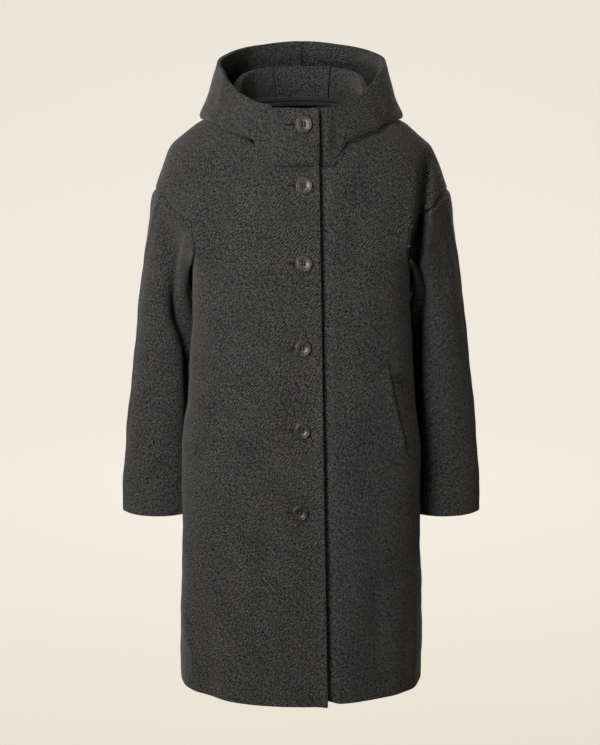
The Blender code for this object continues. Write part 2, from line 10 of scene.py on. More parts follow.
import bmesh
import bpy
import numpy as np
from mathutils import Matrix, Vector


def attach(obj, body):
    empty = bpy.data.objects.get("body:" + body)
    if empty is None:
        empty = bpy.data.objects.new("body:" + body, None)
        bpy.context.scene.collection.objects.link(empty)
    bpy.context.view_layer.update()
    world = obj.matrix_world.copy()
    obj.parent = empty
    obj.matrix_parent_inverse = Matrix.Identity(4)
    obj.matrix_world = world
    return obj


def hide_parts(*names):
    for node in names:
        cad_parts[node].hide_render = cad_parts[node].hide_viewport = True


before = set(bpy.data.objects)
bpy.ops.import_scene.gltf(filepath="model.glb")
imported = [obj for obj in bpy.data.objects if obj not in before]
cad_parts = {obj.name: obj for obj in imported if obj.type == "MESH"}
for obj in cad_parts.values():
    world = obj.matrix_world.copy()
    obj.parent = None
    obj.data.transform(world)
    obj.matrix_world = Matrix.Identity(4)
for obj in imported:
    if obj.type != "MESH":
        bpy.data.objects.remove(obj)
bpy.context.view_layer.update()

# Fronts
# Two panels of heavy charcoal wool twill, brushed on the face. The wearer's right front laps over the left.
# Each is cut in one piece from shoulder to hem, and its front edge and hem are turned to the inside.
WALL = 0.0026
SEAM_GAP = 0.0004
LAP_GAP = 0.0040
HEM, UNDERARM, SHOULDER_TIP, NECK_POINT = -0.930, -0.245, -0.120, 0.0005
LAP_AT_RIM, LAP_AT_HEM, LAP_RISE, UNDERLAP, LAP_SHARE = 0.024, 0.041, 0.022, 0.030, 0.30
HEM_LIFT_UNDER = 0.012
HOOD_FRONT_HEIGHT = 0.090
ARM_PRESS_TURN, ARM_PRESS_REACH = 103.0, 20.0
FRONT_REACH_TURN, TURN_HALVINGS = 80.0, 30

Section = namedtuple("Section", "height half_width front back squareness arm_press")
SECTIONS = [
    Section(0.012, 0.090, 0.050, 0.052, 2.00, 0.000),
    Section(0.000, 0.101, 0.058, 0.068, 2.00, 0.000),
    Section(-0.010, 0.133, 0.063, 0.072, 2.00, 0.000),
    Section(-0.020, 0.160, 0.069, 0.075, 2.00, 0.000),
    Section(-0.030, 0.1735, 0.079, 0.079, 2.00, 0.000),
    Section(-0.042, 0.187, 0.0935, 0.083, 2.00, 0.000),
    Section(-0.058, 0.204, 0.104, 0.088, 2.00, 0.000),
    Section(-0.075, 0.212, 0.110, 0.093, 2.00, 0.000),
    Section(-0.120, 0.2275, 0.1165, 0.103, 2.00, 0.000),
    Section(-0.145, 0.2345, 0.1185, 0.107, 2.05, 0.000),
    Section(-0.170, 0.2375, 0.1195, 0.109, 2.15, 0.000),
    Section(-0.197, 0.226, 0.121, 0.111, 2.40, 0.000),
    Section(-0.219, 0.1905, 0.1225, 0.112, 2.80, 0.030),
    Section(-0.237, 0.1745, 0.1235, 0.113, 3.00, 0.080),
    Section(-0.250, 0.174, 0.124, 0.113, 3.10, 0.105),
    Section(-0.310, 0.174, 0.127, 0.113, 3.15, 0.130),
    Section(-0.360, 0.178, 0.129, 0.111, 3.10, 0.135),
    Section(-0.450, 0.184, 0.1335, 0.111, 2.90, 0.140),
    Section(-0.500, 0.192, 0.136, 0.112, 2.80, 0.150),
    Section(-0.535, 0.196, 0.1375, 0.114, 2.70, 0.155),
    Section(-0.640, 0.198, 0.142, 0.119, 2.50, 0.168),
    Section(-0.680, 0.1985, 0.1435, 0.121, 2.42, 0.150),
    Section(-0.760, 0.1995, 0.146, 0.124, 2.28, 0.060),
    Section(-0.850, 0.1995, 0.1485, 0.127, 2.14, 0.010),
    Section(-0.930, 0.1985, 0.151, 0.130, 2.02, 0.000),
]

Fold = namedtuple("Fold", "turn reach depth start full")
FOLDS = [
    Fold(-34.0, 9.0, 0.0025, -0.55, -0.90),
    Fold(30.0, 8.0, -0.0025, -0.50, -0.90),
    Fold(63.0, 9.0, 0.0040, -0.66, -0.90),
    Fold(-66.0, 9.0, 0.0035, -0.66, -0.90),
    Fold(128.0, 10.0, 0.0060, -0.40, -0.85),
    Fold(-134.0, 11.0, 0.0055, -0.42, -0.85),
    Fold(153.0, 8.0, -0.0045, -0.38, -0.80),
    Fold(-158.0, 9.0, -0.0050, -0.36, -0.80),
    Fold(176.0, 8.0, 0.0045, -0.34, -0.85),
]

NeckPoint = namedtuple("NeckPoint", "turn height")
NECKLINE = [
    NeckPoint(0.0, -0.0750),
    NeckPoint(10.0, -0.0750),
    NeckPoint(13.0, -0.0735),
    NeckPoint(16.0, -0.0630),
    NeckPoint(20.0, -0.0490),
    NeckPoint(27.0, -0.0350),
    NeckPoint(35.0, -0.0240),
    NeckPoint(45.0, -0.0120),
    NeckPoint(60.0, -0.0045),
    NeckPoint(75.0, -0.0010),
    NeckPoint(90.0, NECK_POINT),
    NeckPoint(120.0, 0.0040),
    NeckPoint(150.0, 0.0070),
    NeckPoint(168.0, 0.0080),
    NeckPoint(180.0, 0.0080),
]

ArmholePoint = namedtuple("ArmholePoint", "share height front_turn back_turn")
ARMHOLE = [
    ArmholePoint(0.00, SHOULDER_TIP, 90.0, 90.0),
    ArmholePoint(0.10, -0.1265, 71.0, 109.0),
    ArmholePoint(0.25, -0.1450, 58.0, 122.0),
    ArmholePoint(0.45, -0.1700, 43.8, 132.0),
    ArmholePoint(0.65, -0.1970, 43.4, 133.0),
    ArmholePoint(0.80, -0.2190, 52.3, 127.0),
    ArmholePoint(0.92, -0.2370, 69.0, 112.0),
    ArmholePoint(1.00, UNDERARM, 90.0, 90.0),
]

# Creases of the fronts: soft troughs, and ridges where the depth is positive, by x and height
Crease = namedtuple("Crease", "x0 z0 x1 z1 width depth bow")
FRONT_CREASES = [
    Crease(-0.085, -0.050, -0.066, -0.088, 0.008, -0.0034, 0.002),
    Crease(-0.118, -0.040, -0.092, -0.120, 0.012, -0.0018, 0.004),
    Crease(-0.060, -0.150, -0.072, -0.420, 0.022, -0.0020, 0.006),
    Crease(-0.120, -0.170, -0.112, -0.330, 0.018, -0.0018, -0.005),
    Crease(-0.054, -0.600, -0.066, -0.830, 0.015, -0.0042, 0.003),
    Crease(-0.105, -0.560, -0.122, -0.900, 0.018, -0.0030, -0.004),
    Crease(-0.188, -0.800, -0.168, -0.935, 0.009, 0.0034, 0.002),
    Crease(-0.152, -0.790, -0.146, -0.935, 0.012, -0.0032, 0.002),
    Crease(0.094, -0.036, 0.040, -0.080, 0.010, -0.0046, 0.000),
    Crease(-0.080, -0.038, -0.056, -0.047, 0.006, -0.0040, 0.000),
    Crease(0.078, -0.130, 0.070, -0.380, 0.020, -0.0020, 0.004),
    Crease(0.118, -0.680, 0.122, -0.935, 0.014, -0.0044, 0.003),
    Crease(0.156, -0.740, 0.152, -0.935, 0.012, 0.0032, 0.000),
    Crease(0.080, -0.560, 0.092, -0.860, 0.016, 0.0024, -0.003),
]


class Curve:
    """Smooth line through the rows of a table that never overshoots them."""

    def __init__(self, places, values):
        order = np.argsort(places)
        self.places = np.array(places, float)[order]
        self.values = np.array(values, float)[order]
        self.steps = np.diff(self.places)
        rises = np.diff(self.values) / self.steps
        both = rises[:-1] * rises[1:]
        inner = np.where(both > 0, 2 * both / np.where(both > 0, rises[:-1] + rises[1:], 1.0), 0.0)
        self.slopes = np.concatenate([rises[:1], inner, rises[-1:]])

    def __call__(self, place):
        place = np.clip(place, self.places[0], self.places[-1])
        i = np.clip(np.searchsorted(self.places, place, side="right") - 1, 0, len(self.steps) - 1)
        t = (place - self.places[i]) / self.steps[i]
        rest = 1.0 - t
        ends = self.values[i] * (1 + 2 * t) * rest ** 2 + self.values[i + 1] * t ** 2 * (3 - 2 * t)
        bends = self.slopes[i] * t * rest ** 2 - self.slopes[i + 1] * t ** 2 * rest
        return ends + bends * self.steps[i]


def columns(table):
    """One curve for each column of a table, over its first column."""
    first, *others = table[0]._fields
    places = [getattr(row, first) for row in table]
    return {name: Curve(places, [getattr(row, name) for row in table]) for name in others}


BODY = columns(SECTIONS)
NECK_SEAM = columns(NECKLINE)["height"]
ARM_SEAM_HEIGHT = columns(ARMHOLE)["height"]
FRONT_ARMHOLE = Curve([p.height for p in ARMHOLE], [p.front_turn for p in ARMHOLE])
BACK_ARMHOLE = Curve([p.height for p in ARMHOLE], [p.back_turn for p in ARMHOLE])
# Turn that a panel's outer columns start towards, so that they bend calmly into the armhole
CALM_SIDE = Curve([-0.34, -0.25, -0.19, -0.12, -0.05], [90.0, 72.0, 58.0, 72.0, 90.0])


def blend(start, end, share):
    return start + (end - start) * share


def soft_step(share):
    share = np.clip(share, 0.0, 1.0)
    return share * share * (3.0 - 2.0 * share)


def body_point(turn, height):
    """Outer face of the body at a turn and a height."""
    turn, height = np.broadcast_arrays(np.asarray(turn, float), np.asarray(height, float))
    across, along = np.sin(np.radians(turn)), np.cos(np.radians(turn))
    square = BODY["squareness"](height)
    depth = np.where(along >= 0, BODY["front"](height), BODY["back"](height))
    swell = (np.abs(across) ** square + np.abs(along) ** square) ** (-1.0 / square)
    pressed = np.exp(-((np.abs(turn) - ARM_PRESS_TURN) / ARM_PRESS_REACH) ** 2)
    x = BODY["half_width"](height) * across * swell * (1.0 - BODY["arm_press"](height) * pressed)
    y = -depth * along * swell
    stretch = np.ones_like(x)
    for fold in FOLDS:
        away = (turn - fold.turn + 180.0) % 360.0 - 180.0
        strength = soft_step((fold.start - height) / (fold.start - fold.full))
        stretch += fold.depth * strength * np.exp(-((away / fold.reach) ** 2)) / np.hypot(x, y)
    return np.stack([x * stretch, y * stretch, height], axis=-1)


def turn_at(x, height):
    """Turn on the front of the body at a distance from the centre line."""
    x, height = np.broadcast_arrays(np.asarray(x, float), np.asarray(height, float))
    low = np.full(x.shape, -FRONT_REACH_TURN)
    high = np.full(x.shape, FRONT_REACH_TURN)
    for _ in range(TURN_HALVINGS):
        middle = (low + high) / 2
        short = body_point(middle, height)[..., 0] < x
        low = np.where(short, middle, low)
        high = np.where(short, high, middle)
    return low


def lap_edge(height):
    """Distance of the upper front's edge from the centre line."""
    return blend(LAP_AT_HEM, LAP_AT_RIM, (height - HEM) / (HOOD_FRONT_HEIGHT - HEM))


def lapped(points):
    """Sink the under front beneath the upper one."""
    sink = soft_step((lap_edge(points[..., 2]) + LAP_RISE - points[..., 0]) / (LAP_RISE - WALL))
    sunk = points.copy()
    sunk[..., 1] += np.where(points[..., 1] > 0.0, 0.0, (WALL + LAP_GAP) * sink)
    return sunk


def panel_height(level, top, hem):
    """Height at a panel's level: 0 hem, 1 underarm, 2 neck seam."""
    return np.where(level <= 1.0, blend(hem, UNDERARM, level), blend(UNDERARM, top, level - 1.0))


def side_turn(level, armhole):
    """Turn of a panel's outer edge: side seam, armhole, then shoulder seam."""
    height = panel_height(level, NECK_POINT, HEM)
    return np.where((height > UNDERARM) & (height < SHOULDER_TIP), armhole(height), 90.0)


def gap_turn(points):
    """Turn that covers the seam gap at a point."""
    return np.degrees(SEAM_GAP / np.hypot(points[..., 0], points[..., 1]))


def front_turn(side, share, height, outer_turn, calm_turn):
    """Turn across a front: the lap takes the first shares, and the rest eases to the outer edge."""
    lap = lap_edge(height)
    middle = LAP_SHARE / 2
    first, second = (-UNDERLAP, lap + WALL) if side > 0 else (-lap, LAP_RISE / 2)
    last = lap + LAP_RISE
    x = np.where(share < middle, blend(first, second, share / middle),
                 blend(second, last, share / middle - 1.0))
    out = (share - LAP_SHARE) / (1.0 - LAP_SHARE)
    outside = blend(turn_at(last, height), blend(calm_turn, outer_turn, out ** 2), out)
    return np.where(share < LAP_SHARE, turn_at(x, height), outside)


def front_place(side, share, level):
    """Turn and height on a front: share 0 at its front edge, 1 at the seams on its outer side."""
    outer_turn = side_turn(level, FRONT_ARMHOLE)
    outer_turn = outer_turn - gap_turn(body_point(outer_turn, panel_height(level, NECK_POINT, HEM)))
    hem = HEM + (HEM_LIFT_UNDER * (1.0 - share) ** 4 if side > 0 else 0.0 * share)
    neck = NECK_SEAM(0.0)
    calm_turn = CALM_SIDE(panel_height(level, NECK_POINT, HEM))
    turn = front_turn(side, share, panel_height(level, neck, hem), outer_turn, calm_turn)
    top = NECK_SEAM(np.abs(front_turn(side, share, neck, 90.0, 90.0)))
    return side * turn, panel_height(level, top, hem)


# Lengths along the cloth, measured round and up the body, so that the weave keeps its scale
FLAT_MARGIN, FLAT_COLUMNS, FLAT_ROWS = 0.002, 181, 240
FLAT_TURNS = np.linspace(0.0, 180.0, FLAT_COLUMNS)
FLAT_HEIGHTS = np.linspace(HEM - FLAT_MARGIN, SECTIONS[0].height, FLAT_ROWS)
flat_body = body_point(FLAT_TURNS[:, None], FLAT_HEIGHTS[None, :])
flat_round = np.gradient(flat_body, axis=0)
flat_round /= np.linalg.norm(flat_round, axis=2, keepdims=True)
flat_rise = np.diff(flat_body, axis=1)
flat_rise -= (flat_rise * flat_round[:, 1:]).sum(axis=2, keepdims=True) * flat_round[:, 1:]
CLOTH_ROUND = np.pad(np.cumsum(np.linalg.norm(np.diff(flat_body, axis=0), axis=2), axis=0), ((1, 0), (0, 0)))
CLOTH_UP = np.pad(np.cumsum(np.linalg.norm(flat_rise, axis=2), axis=1), ((0, 0), (1, 0)))


def body_flat(turn, height):
    """Flat place on the cloth of the body, across and up, in metres."""
    i = np.clip(np.abs(turn), 0.0, 180.0) / 180.0 * (len(FLAT_TURNS) - 1)
    j = (height - FLAT_HEIGHTS[0]) / (FLAT_HEIGHTS[-1] - FLAT_HEIGHTS[0]) * (len(FLAT_HEIGHTS) - 1)
    i0 = np.clip(i.astype(int), 0, len(FLAT_TURNS) - 2)
    j0 = np.clip(j.astype(int), 0, len(FLAT_HEIGHTS) - 2)
    a, b = i - i0, j - j0
    place = []
    for table in (CLOTH_ROUND, CLOTH_UP):
        low = blend(table[i0, j0], table[i0 + 1, j0], a)
        high = blend(table[i0, j0 + 1], table[i0 + 1, j0 + 1], a)
        place.append(blend(low, high, b))
    return np.stack([np.sign(turn) * place[0], place[1]], axis=-1)


class Yarn:
    """A value in a finish's nodes: arithmetic on it adds Math nodes, and node() adds any other node."""

    def __init__(self, tree, socket=None):
        self.tree = tree
        self.socket = socket

    def node(self, kind, settings, inputs, output=0):
        made = self.tree.nodes.new(kind)
        for name, value in settings.items():
            if name == "stops":
                for stop, (place, tone) in zip(made.color_ramp.elements, value):
                    stop.position = place
                    stop.color = (tone, tone, tone, 1.0)
            else:
                setattr(made, name, value)
        for name, value in inputs.items():
            if isinstance(value, Yarn):
                self.tree.links.new(value.socket, made.inputs[name])
            else:
                made.inputs[name].default_value = value
        return Yarn(self.tree, made.outputs[output])

    def math(self, operation, *values):
        return self.node("ShaderNodeMath", {"operation": operation}, dict(enumerate(values)))

    def mix(self, share, first, second):
        inputs = {"Factor": share, 6: first, 7: second}
        return self.node("ShaderNodeMix", {"data_type": "RGBA"}, inputs, 2)

    def into(self, shader, name):
        self.tree.links.new(self.socket, shader.inputs[name])

    def __add__(self, other):
        return self.math("ADD", self, other)

    def __radd__(self, other):
        return self.math("ADD", other, self)

    def __sub__(self, other):
        return self.math("SUBTRACT", self, other)

    def __rsub__(self, other):
        return self.math("SUBTRACT", other, self)

    def __mul__(self, other):
        return self.math("MULTIPLY", self, other)

    def __rmul__(self, other):
        return self.math("MULTIPLY", other, self)


def new_finish(name, surface):
    """A material with its plain values set, its shader, and a starting value for its nodes."""
    made = bpy.data.materials.new(name)
    made.use_nodes = True
    shader = made.node_tree.nodes["Principled BSDF"]
    for socket, value in surface.items():
        shader.inputs[socket].default_value = value
    return made, shader, Yarn(made.node_tree)


# Wool: a broken twill that leans to the right, brushed so that pale hairs lie over it
TWILL_LEAN = math.radians(42.0)
TWILL_PITCH = 0.0034
WOOL_DARK = (0.0045, 0.0045, 0.0046, 1.0)
WOOL_MID = (0.1120, 0.1100, 0.1078, 1.0)
WOOL_HAIR = (0.245, 0.239, 0.230, 1.0)


WOOL_SURFACE = {"Roughness": 0.92, "Specular IOR Level": 0.15, "Sheen Weight": 0.20, "Sheen Roughness": 0.55,
                "Sheen Tint": (0.72, 0.70, 0.67, 1.0)}
Noise = namedtuple("Noise", "scale detail roughness")
WANDER, PATCH, CLOUD = Noise(90.0, 3.0, 0.5), Noise(30.0, 2.0, 0.5), Noise(17.0, 3.0, 0.5)
FLOATS, NAP, HAIRS = Noise(620.0, 1.0, 0.5), Noise(680.0, 1.0, 0.5), Noise(600.0, 2.0, 0.5)
CLUMPS = Noise(150.0, 4.0, 0.6)
WANDER_PHASE, FLOAT_STRETCH, HAIR_STRETCH, HAIR_LEAN, HAIR_COVER = 6.0, 0.32, 0.32, 0.9, 0.40
PATCH_STOPS, HAIR_STOPS = ((0.38, 0.1), (0.62, 1.0)), ((0.57, 0.0), (0.70, 1.0))
RIB_TONE, FLOAT_TONE, FLOAT_TONE_SHOWN, CLUMP_TONE, CLOUD_TONE, NAP_TONE = 0.36, 1.8, 2.2, 0.7, 0.40, 3.0
GROUND_TONE = 0.33
RIB_RELIEF, FLOAT_RELIEF, NAP_RELIEF, CLUMP_RELIEF, HAIR_RELIEF = 0.30, 1.5, 0.9, 0.25, 0.3
RELIEF_STRENGTH, RELIEF_DEPTH = 0.65, 0.0011


def wool_finish():
    wool, shader, start = new_finish("charcoal wool twill", WOOL_SURFACE)
    place = start.node("ShaderNodeUVMap", {"uv_map": "Weave"}, {})
    split = start.node("ShaderNodeSeparateXYZ", {}, {0: place})
    u, v = split, Yarn(split.tree, split.socket.node.outputs[1])

    def noise(kind, vector=place):
        return start.node("ShaderNodeTexNoise", {}, {"Vector": vector, "Scale": kind.scale,
                                                     "Detail": kind.detail, "Roughness": kind.roughness})

    def ramp(value, stops):
        return start.node("ShaderNodeValToRGB", {"stops": stops}, {0: value})

    across = u * math.sin(TWILL_LEAN) - v * math.cos(TWILL_LEAN)
    along = u * math.cos(TWILL_LEAN) + v * math.sin(TWILL_LEAN)
    phase = across * (math.tau / TWILL_PITCH) + noise(WANDER) * WANDER_PHASE
    shown = ramp(noise(PATCH), PATCH_STOPS)
    ribs = phase.math("SINE", phase) * shown
    lie = start.node("ShaderNodeCombineXYZ", {}, {"X": along * FLOAT_STRETCH, "Y": across})
    floats, clumps, cloud, nap = (noise(kind, vector) - 0.5 for kind, vector in (
        (FLOATS, lie), (CLUMPS, place), (CLOUD, place), (NAP, place)))
    turned = start.node("ShaderNodeMapping", {}, {"Vector": place, "Rotation": (0.0, 0.0, HAIR_LEAN),
                                                  "Scale": (1.0, HAIR_STRETCH, 1.0)})
    pale = ramp(noise(HAIRS, turned), HAIR_STOPS)
    tone = ribs * RIB_TONE + floats * (FLOAT_TONE + shown * FLOAT_TONE_SHOWN) + clumps * CLUMP_TONE
    tone = tone + cloud * CLOUD_TONE + nap * NAP_TONE + GROUND_TONE
    tone = tone.math("MAXIMUM", tone, 0.0)
    ground = start.mix(tone.math("MINIMUM", tone, 1.0), WOOL_DARK, WOOL_MID)
    start.mix(pale * HAIR_COVER, ground, WOOL_HAIR).into(shader, "Base Color")
    relief = ribs * RIB_RELIEF + floats * FLOAT_RELIEF + nap * NAP_RELIEF
    relief = relief + clumps * CLUMP_RELIEF + pale * HAIR_RELIEF
    bump = start.node("ShaderNodeBump", {}, {"Strength": RELIEF_STRENGTH, "Distance": RELIEF_DEPTH,
                                             "Height": relief})
    bump.into(shader, "Normal")
    return wool


WOOL = wool_finish()

# How a panel's edges are finished: seams draw in, one side of a set-in seam lies lower, the over-arm seam
# stands up as a ridge, turned edges are fuller, and the neck seam is pressed flat at its two corners
EDGE_LIFTS = {"seam": (-0.0016, 0.0035), "under": (-0.0036, 0.0060), "ridge": (0.0013, 0.0030)}
PRESSED_X, PRESSED_HEIGHT, PRESSED_REACH, PRESSED_SHARE = 0.060, -0.057, 0.019, 0.92
TURN_WALL, TURN_WIDTH, TURN_FADE = 0.0054, 0.026, 0.008
ROUNDED_EDGE, ROUNDED_STEPS, ROUNDED_ANGLE = 0.0011, 3, math.radians(60.0)
CREASE_OVERRUN, CREASE_FADE = 0.15, 0.5
CREASE_UNEVEN, CREASE_WAVE, CREASE_SHIFT = 0.25, 9.0, 40.0
Wave = namedtuple("Wave", "x y z start")
HAND_BROAD, BROAD_WAVES = 0.0009, (Wave(41.0, 0.0, 23.0, 1.3), Wave(0.0, -29.0, 37.0, 0.4))
HAND_SMALL, SMALL_WAVES = 0.0004, (Wave(97.0, 53.0, -71.0, 0.0), Wave(61.0, 0.0, 83.0, 2.1))


def unit_normals(points):
    normals = np.cross(np.gradient(points, axis=0), np.gradient(points, axis=1))
    return normals / np.linalg.norm(normals, axis=2, keepdims=True)


def edge_distance(points):
    """Distance of each point from the first column, last column, first row and last row."""
    across = np.pad(np.cumsum(np.linalg.norm(np.diff(points, axis=0), axis=2), axis=0), ((1, 0), (0, 0)))
    along = np.pad(np.cumsum(np.linalg.norm(np.diff(points, axis=1), axis=2), axis=1), ((0, 0), (1, 0)))
    return across, across[-1:] - across, along, along[:, -1:] - along


def crossed(points, waves):
    """Two waves that cross each other, by the place of each point."""
    first, second = (np.sin(points @ np.array(wave[:3]) + wave.start) for wave in waves)
    return first * second


def hand(points):
    """Slight unevenness of soft heavy cloth hanging on a figure."""
    return HAND_BROAD * crossed(points, BROAD_WAVES) + HAND_SMALL * crossed(points, SMALL_WAVES)


def creased(across, up, creases):
    """Relief of a table of creases at places across and up a panel."""
    relief = np.zeros_like(across)
    for c in creases:
        run, rise = c.x1 - c.x0, c.z1 - c.z0
        length = math.hypot(run, rise)
        t = ((across - c.x0) * run + (up - c.z0) * rise) / length ** 2
        away = ((across - c.x0) * rise - (up - c.z0) * run) / length + c.bow * 4.0 * t * (1.0 - t)
        to_start, to_end = t + CREASE_OVERRUN, 1.0 + CREASE_OVERRUN - t
        fade = soft_step(to_start / CREASE_FADE) * soft_step(to_end / CREASE_FADE)
        uneven = 1.0 + CREASE_UNEVEN * np.sin(CREASE_WAVE * t + CREASE_SHIFT * c.x0)
        relief += c.depth * uneven * fade * np.exp(-((away / c.width) ** 2))
    return relief


def placed(name, data):
    """An object with its data, at the origin of the scene."""
    made = bpy.data.objects.new(name, data)
    bpy.context.scene.collection.objects.link(made)
    return made


def cloth(name, points, flat, edges, relief, kept=None, wall=WALL):
    """A panel of cloth laid on points: its edges finished, its wall added, and its weave laid flat on it."""
    lift = relief + 0.0
    double = np.zeros_like(lift)
    from_corner = np.hypot(np.abs(points[..., 0]) - PRESSED_X, points[..., 2] - PRESSED_HEIGHT)
    pressed = PRESSED_SHARE * np.exp(-((from_corner / PRESSED_REACH) ** 2))
    unpressed = np.where(points[..., 1] > 0.0, 1.0, 1.0 - pressed)
    for word, away in zip(edges.split(), edge_distance(points)):
        if word in EDGE_LIFTS:
            height, reach = EDGE_LIFTS[word]
            lift += height * unpressed * np.exp(-((away / reach) ** 2))
        if word == "turned":
            double = np.maximum(double, soft_step((TURN_WIDTH - away) / TURN_FADE))
    laid = points + unit_normals(points) * lift[..., None]
    index = np.arange(laid.shape[0] * laid.shape[1]).reshape(laid.shape[:2])
    faces = np.stack([index[:-1, :-1], index[1:, :-1], index[1:, 1:], index[:-1, 1:]], axis=-1)
    faces = faces.reshape(-1, 4) if kept is None else faces[kept]
    used, faces = np.unique(faces, return_inverse=True)
    faces = faces.reshape(-1, 4)
    mesh = bpy.data.meshes.new(name)
    mesh.from_pydata(laid.reshape(-1, 3)[used].tolist(), [], faces.tolist())
    weave = mesh.uv_layers.new(name="Weave")
    weave.data.foreach_set("uv", flat.reshape(-1, 2)[used][faces.ravel()].astype(np.float32).ravel())
    mesh.shade_smooth()
    mesh.materials.append(WOOL)
    panel = placed("wool_" + name, mesh)
    turned = panel.vertex_groups.new(name="Turned")
    for vertex, weight in enumerate(double.ravel()[used].tolist()):
        turned.add([vertex], weight, "REPLACE")
    thickness = panel.modifiers.new("Wall", "SOLIDIFY")
    thickness.thickness = TURN_WALL
    thickness.offset = -1.0
    thickness.vertex_group = "Turned"
    thickness.thickness_vertex_group = wall / TURN_WALL
    rounded = panel.modifiers.new("Soft edge", "BEVEL")
    rounded.width = ROUNDED_EDGE
    rounded.segments = ROUNDED_STEPS
    rounded.limit_method = "ANGLE"
    rounded.angle_limit = ROUNDED_ANGLE
    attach(panel, "root")
    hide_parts(name)
    return panel


SKIRT_ROWS, ARMHOLE_ROWS, SHOULDER_ROWS = 140, 48, 26
LAP_COLUMNS, CHEST_COLUMNS = 26, 58
CURL_REACH, CURL_TOP, CURL_HEM = 0.024, 0.0030, 0.0056


def panel_levels():
    """Rows of a body panel: hem, underarm, the armhole's own heights, shoulder, neck seam."""
    rise = NECK_POINT - UNDERARM
    armhole = 1.0 + (ARM_SEAM_HEIGHT(np.linspace(1.0, 0.0, ARMHOLE_ROWS)) - UNDERARM) / rise
    skirt = np.linspace(0.0, 1.0, SKIRT_ROWS)[:-1]
    return np.concatenate([skirt, armhole, np.linspace(armhole[-1], 2.0, SHOULDER_ROWS)[1:]])


# The fold before the wearer's left armhole, which crosses the seam into the sleeve
ARMHOLE_FOLD = [
    Crease(0.180, -0.066, 0.167, -0.206, 0.008, 0.0050, 0.000),
    Crease(0.194, -0.070, 0.177, -0.232, 0.010, -0.0330, 0.000),
]
FOLD_START, FOLD_REACH = 0.020, 0.040


def folded(points):
    """Draw the armhole fold into a panel that it crosses."""
    depth = creased(points[..., 0], points[..., 2], ARMHOLE_FOLD)
    moved = points.copy()
    moved[..., 1] -= depth * soft_step((FOLD_START - points[..., 1]) / FOLD_REACH)
    return moved


def add_front(name, side, edges, across):
    share, level = np.meshgrid(across, panel_levels(), indexing="ij")
    turn, height = front_place(side, share, level)
    points = body_point(turn, height)
    relief = hand(points) + creased(points[..., 0], points[..., 2], FRONT_CREASES)
    if side > 0:
        points = folded(lapped(points))
    else:
        into = (points[..., 0] - lap_edge(height) + CURL_REACH) / CURL_REACH
        relief += blend(CURL_HEM, CURL_TOP, (height - HEM) / (0.0 - HEM)) * soft_step(into) ** 2
    panel = cloth(name, points, body_flat(turn, height), edges, relief)


front_across = np.concatenate([np.linspace(0.0, LAP_SHARE, LAP_COLUMNS)[:-1],
                               np.linspace(LAP_SHARE, 1.0, CHEST_COLUMNS)])
add_front("front_right", -1, "seam turned turned seam", front_across[::-1])
add_front("front_left", 1, "turned seam turned seam", front_across)

# Back
# One panel of the same wool from side seam to side seam, hanging in long soft folds from the shoulders.
# The photograph doesn't show it, so it is finished plainly, with creases like those of the fronts.
BACK_CREASES = [
    Crease(-0.150, -0.090, -0.120, -0.260, 0.016, -0.0030, 0.005),
    Crease(0.145, -0.080, 0.112, -0.250, 0.015, -0.0028, -0.004),
    Crease(-0.095, -0.230, -0.110, -0.480, 0.020, -0.0024, 0.004),
    Crease(0.082, -0.260, 0.100, -0.520, 0.021, -0.0025, -0.003),
    Crease(0.020, -0.300, 0.028, -0.620, 0.022, 0.0020, 0.006),
    Crease(-0.038, -0.420, -0.046, -0.820, 0.018, -0.0026, -0.003),
]
BACK_COLUMNS = 112
back_share, back_level = np.meshgrid(np.linspace(-1.0, 1.0, BACK_COLUMNS), panel_levels(), indexing="ij")
back_side = side_turn(back_level, BACK_ARMHOLE)
back_side = back_side + gap_turn(body_point(back_side, panel_height(back_level, NECK_POINT, HEM)))
back_calm = 180.0 - CALM_SIDE(panel_height(back_level, NECK_POINT, HEM))
back_turn = blend(180.0, blend(back_calm, back_side, back_share ** 2), np.abs(back_share))
back_turn = back_turn * np.where(back_share < 0.0, 1.0, -1.0)
back_top = NECK_SEAM(blend(180.0, 90.0, np.abs(back_share)))
back_height = panel_height(back_level, back_top, HEM)
back_points = body_point(back_turn, back_height)
back_relief = hand(back_points) + creased(back_points[..., 0], back_points[..., 2], BACK_CREASES)
back_flat = body_flat(180.0 - np.abs(back_turn), back_height)
half_round = body_flat(np.full_like(back_turn, 180.0), back_height)[..., 0]
back_flat[..., 0] = np.sign(back_turn) * (half_round - np.abs(body_flat(back_turn, back_height)[..., 0]))
back_panel = cloth("back", back_points, back_flat, "seam seam turned seam", back_relief)

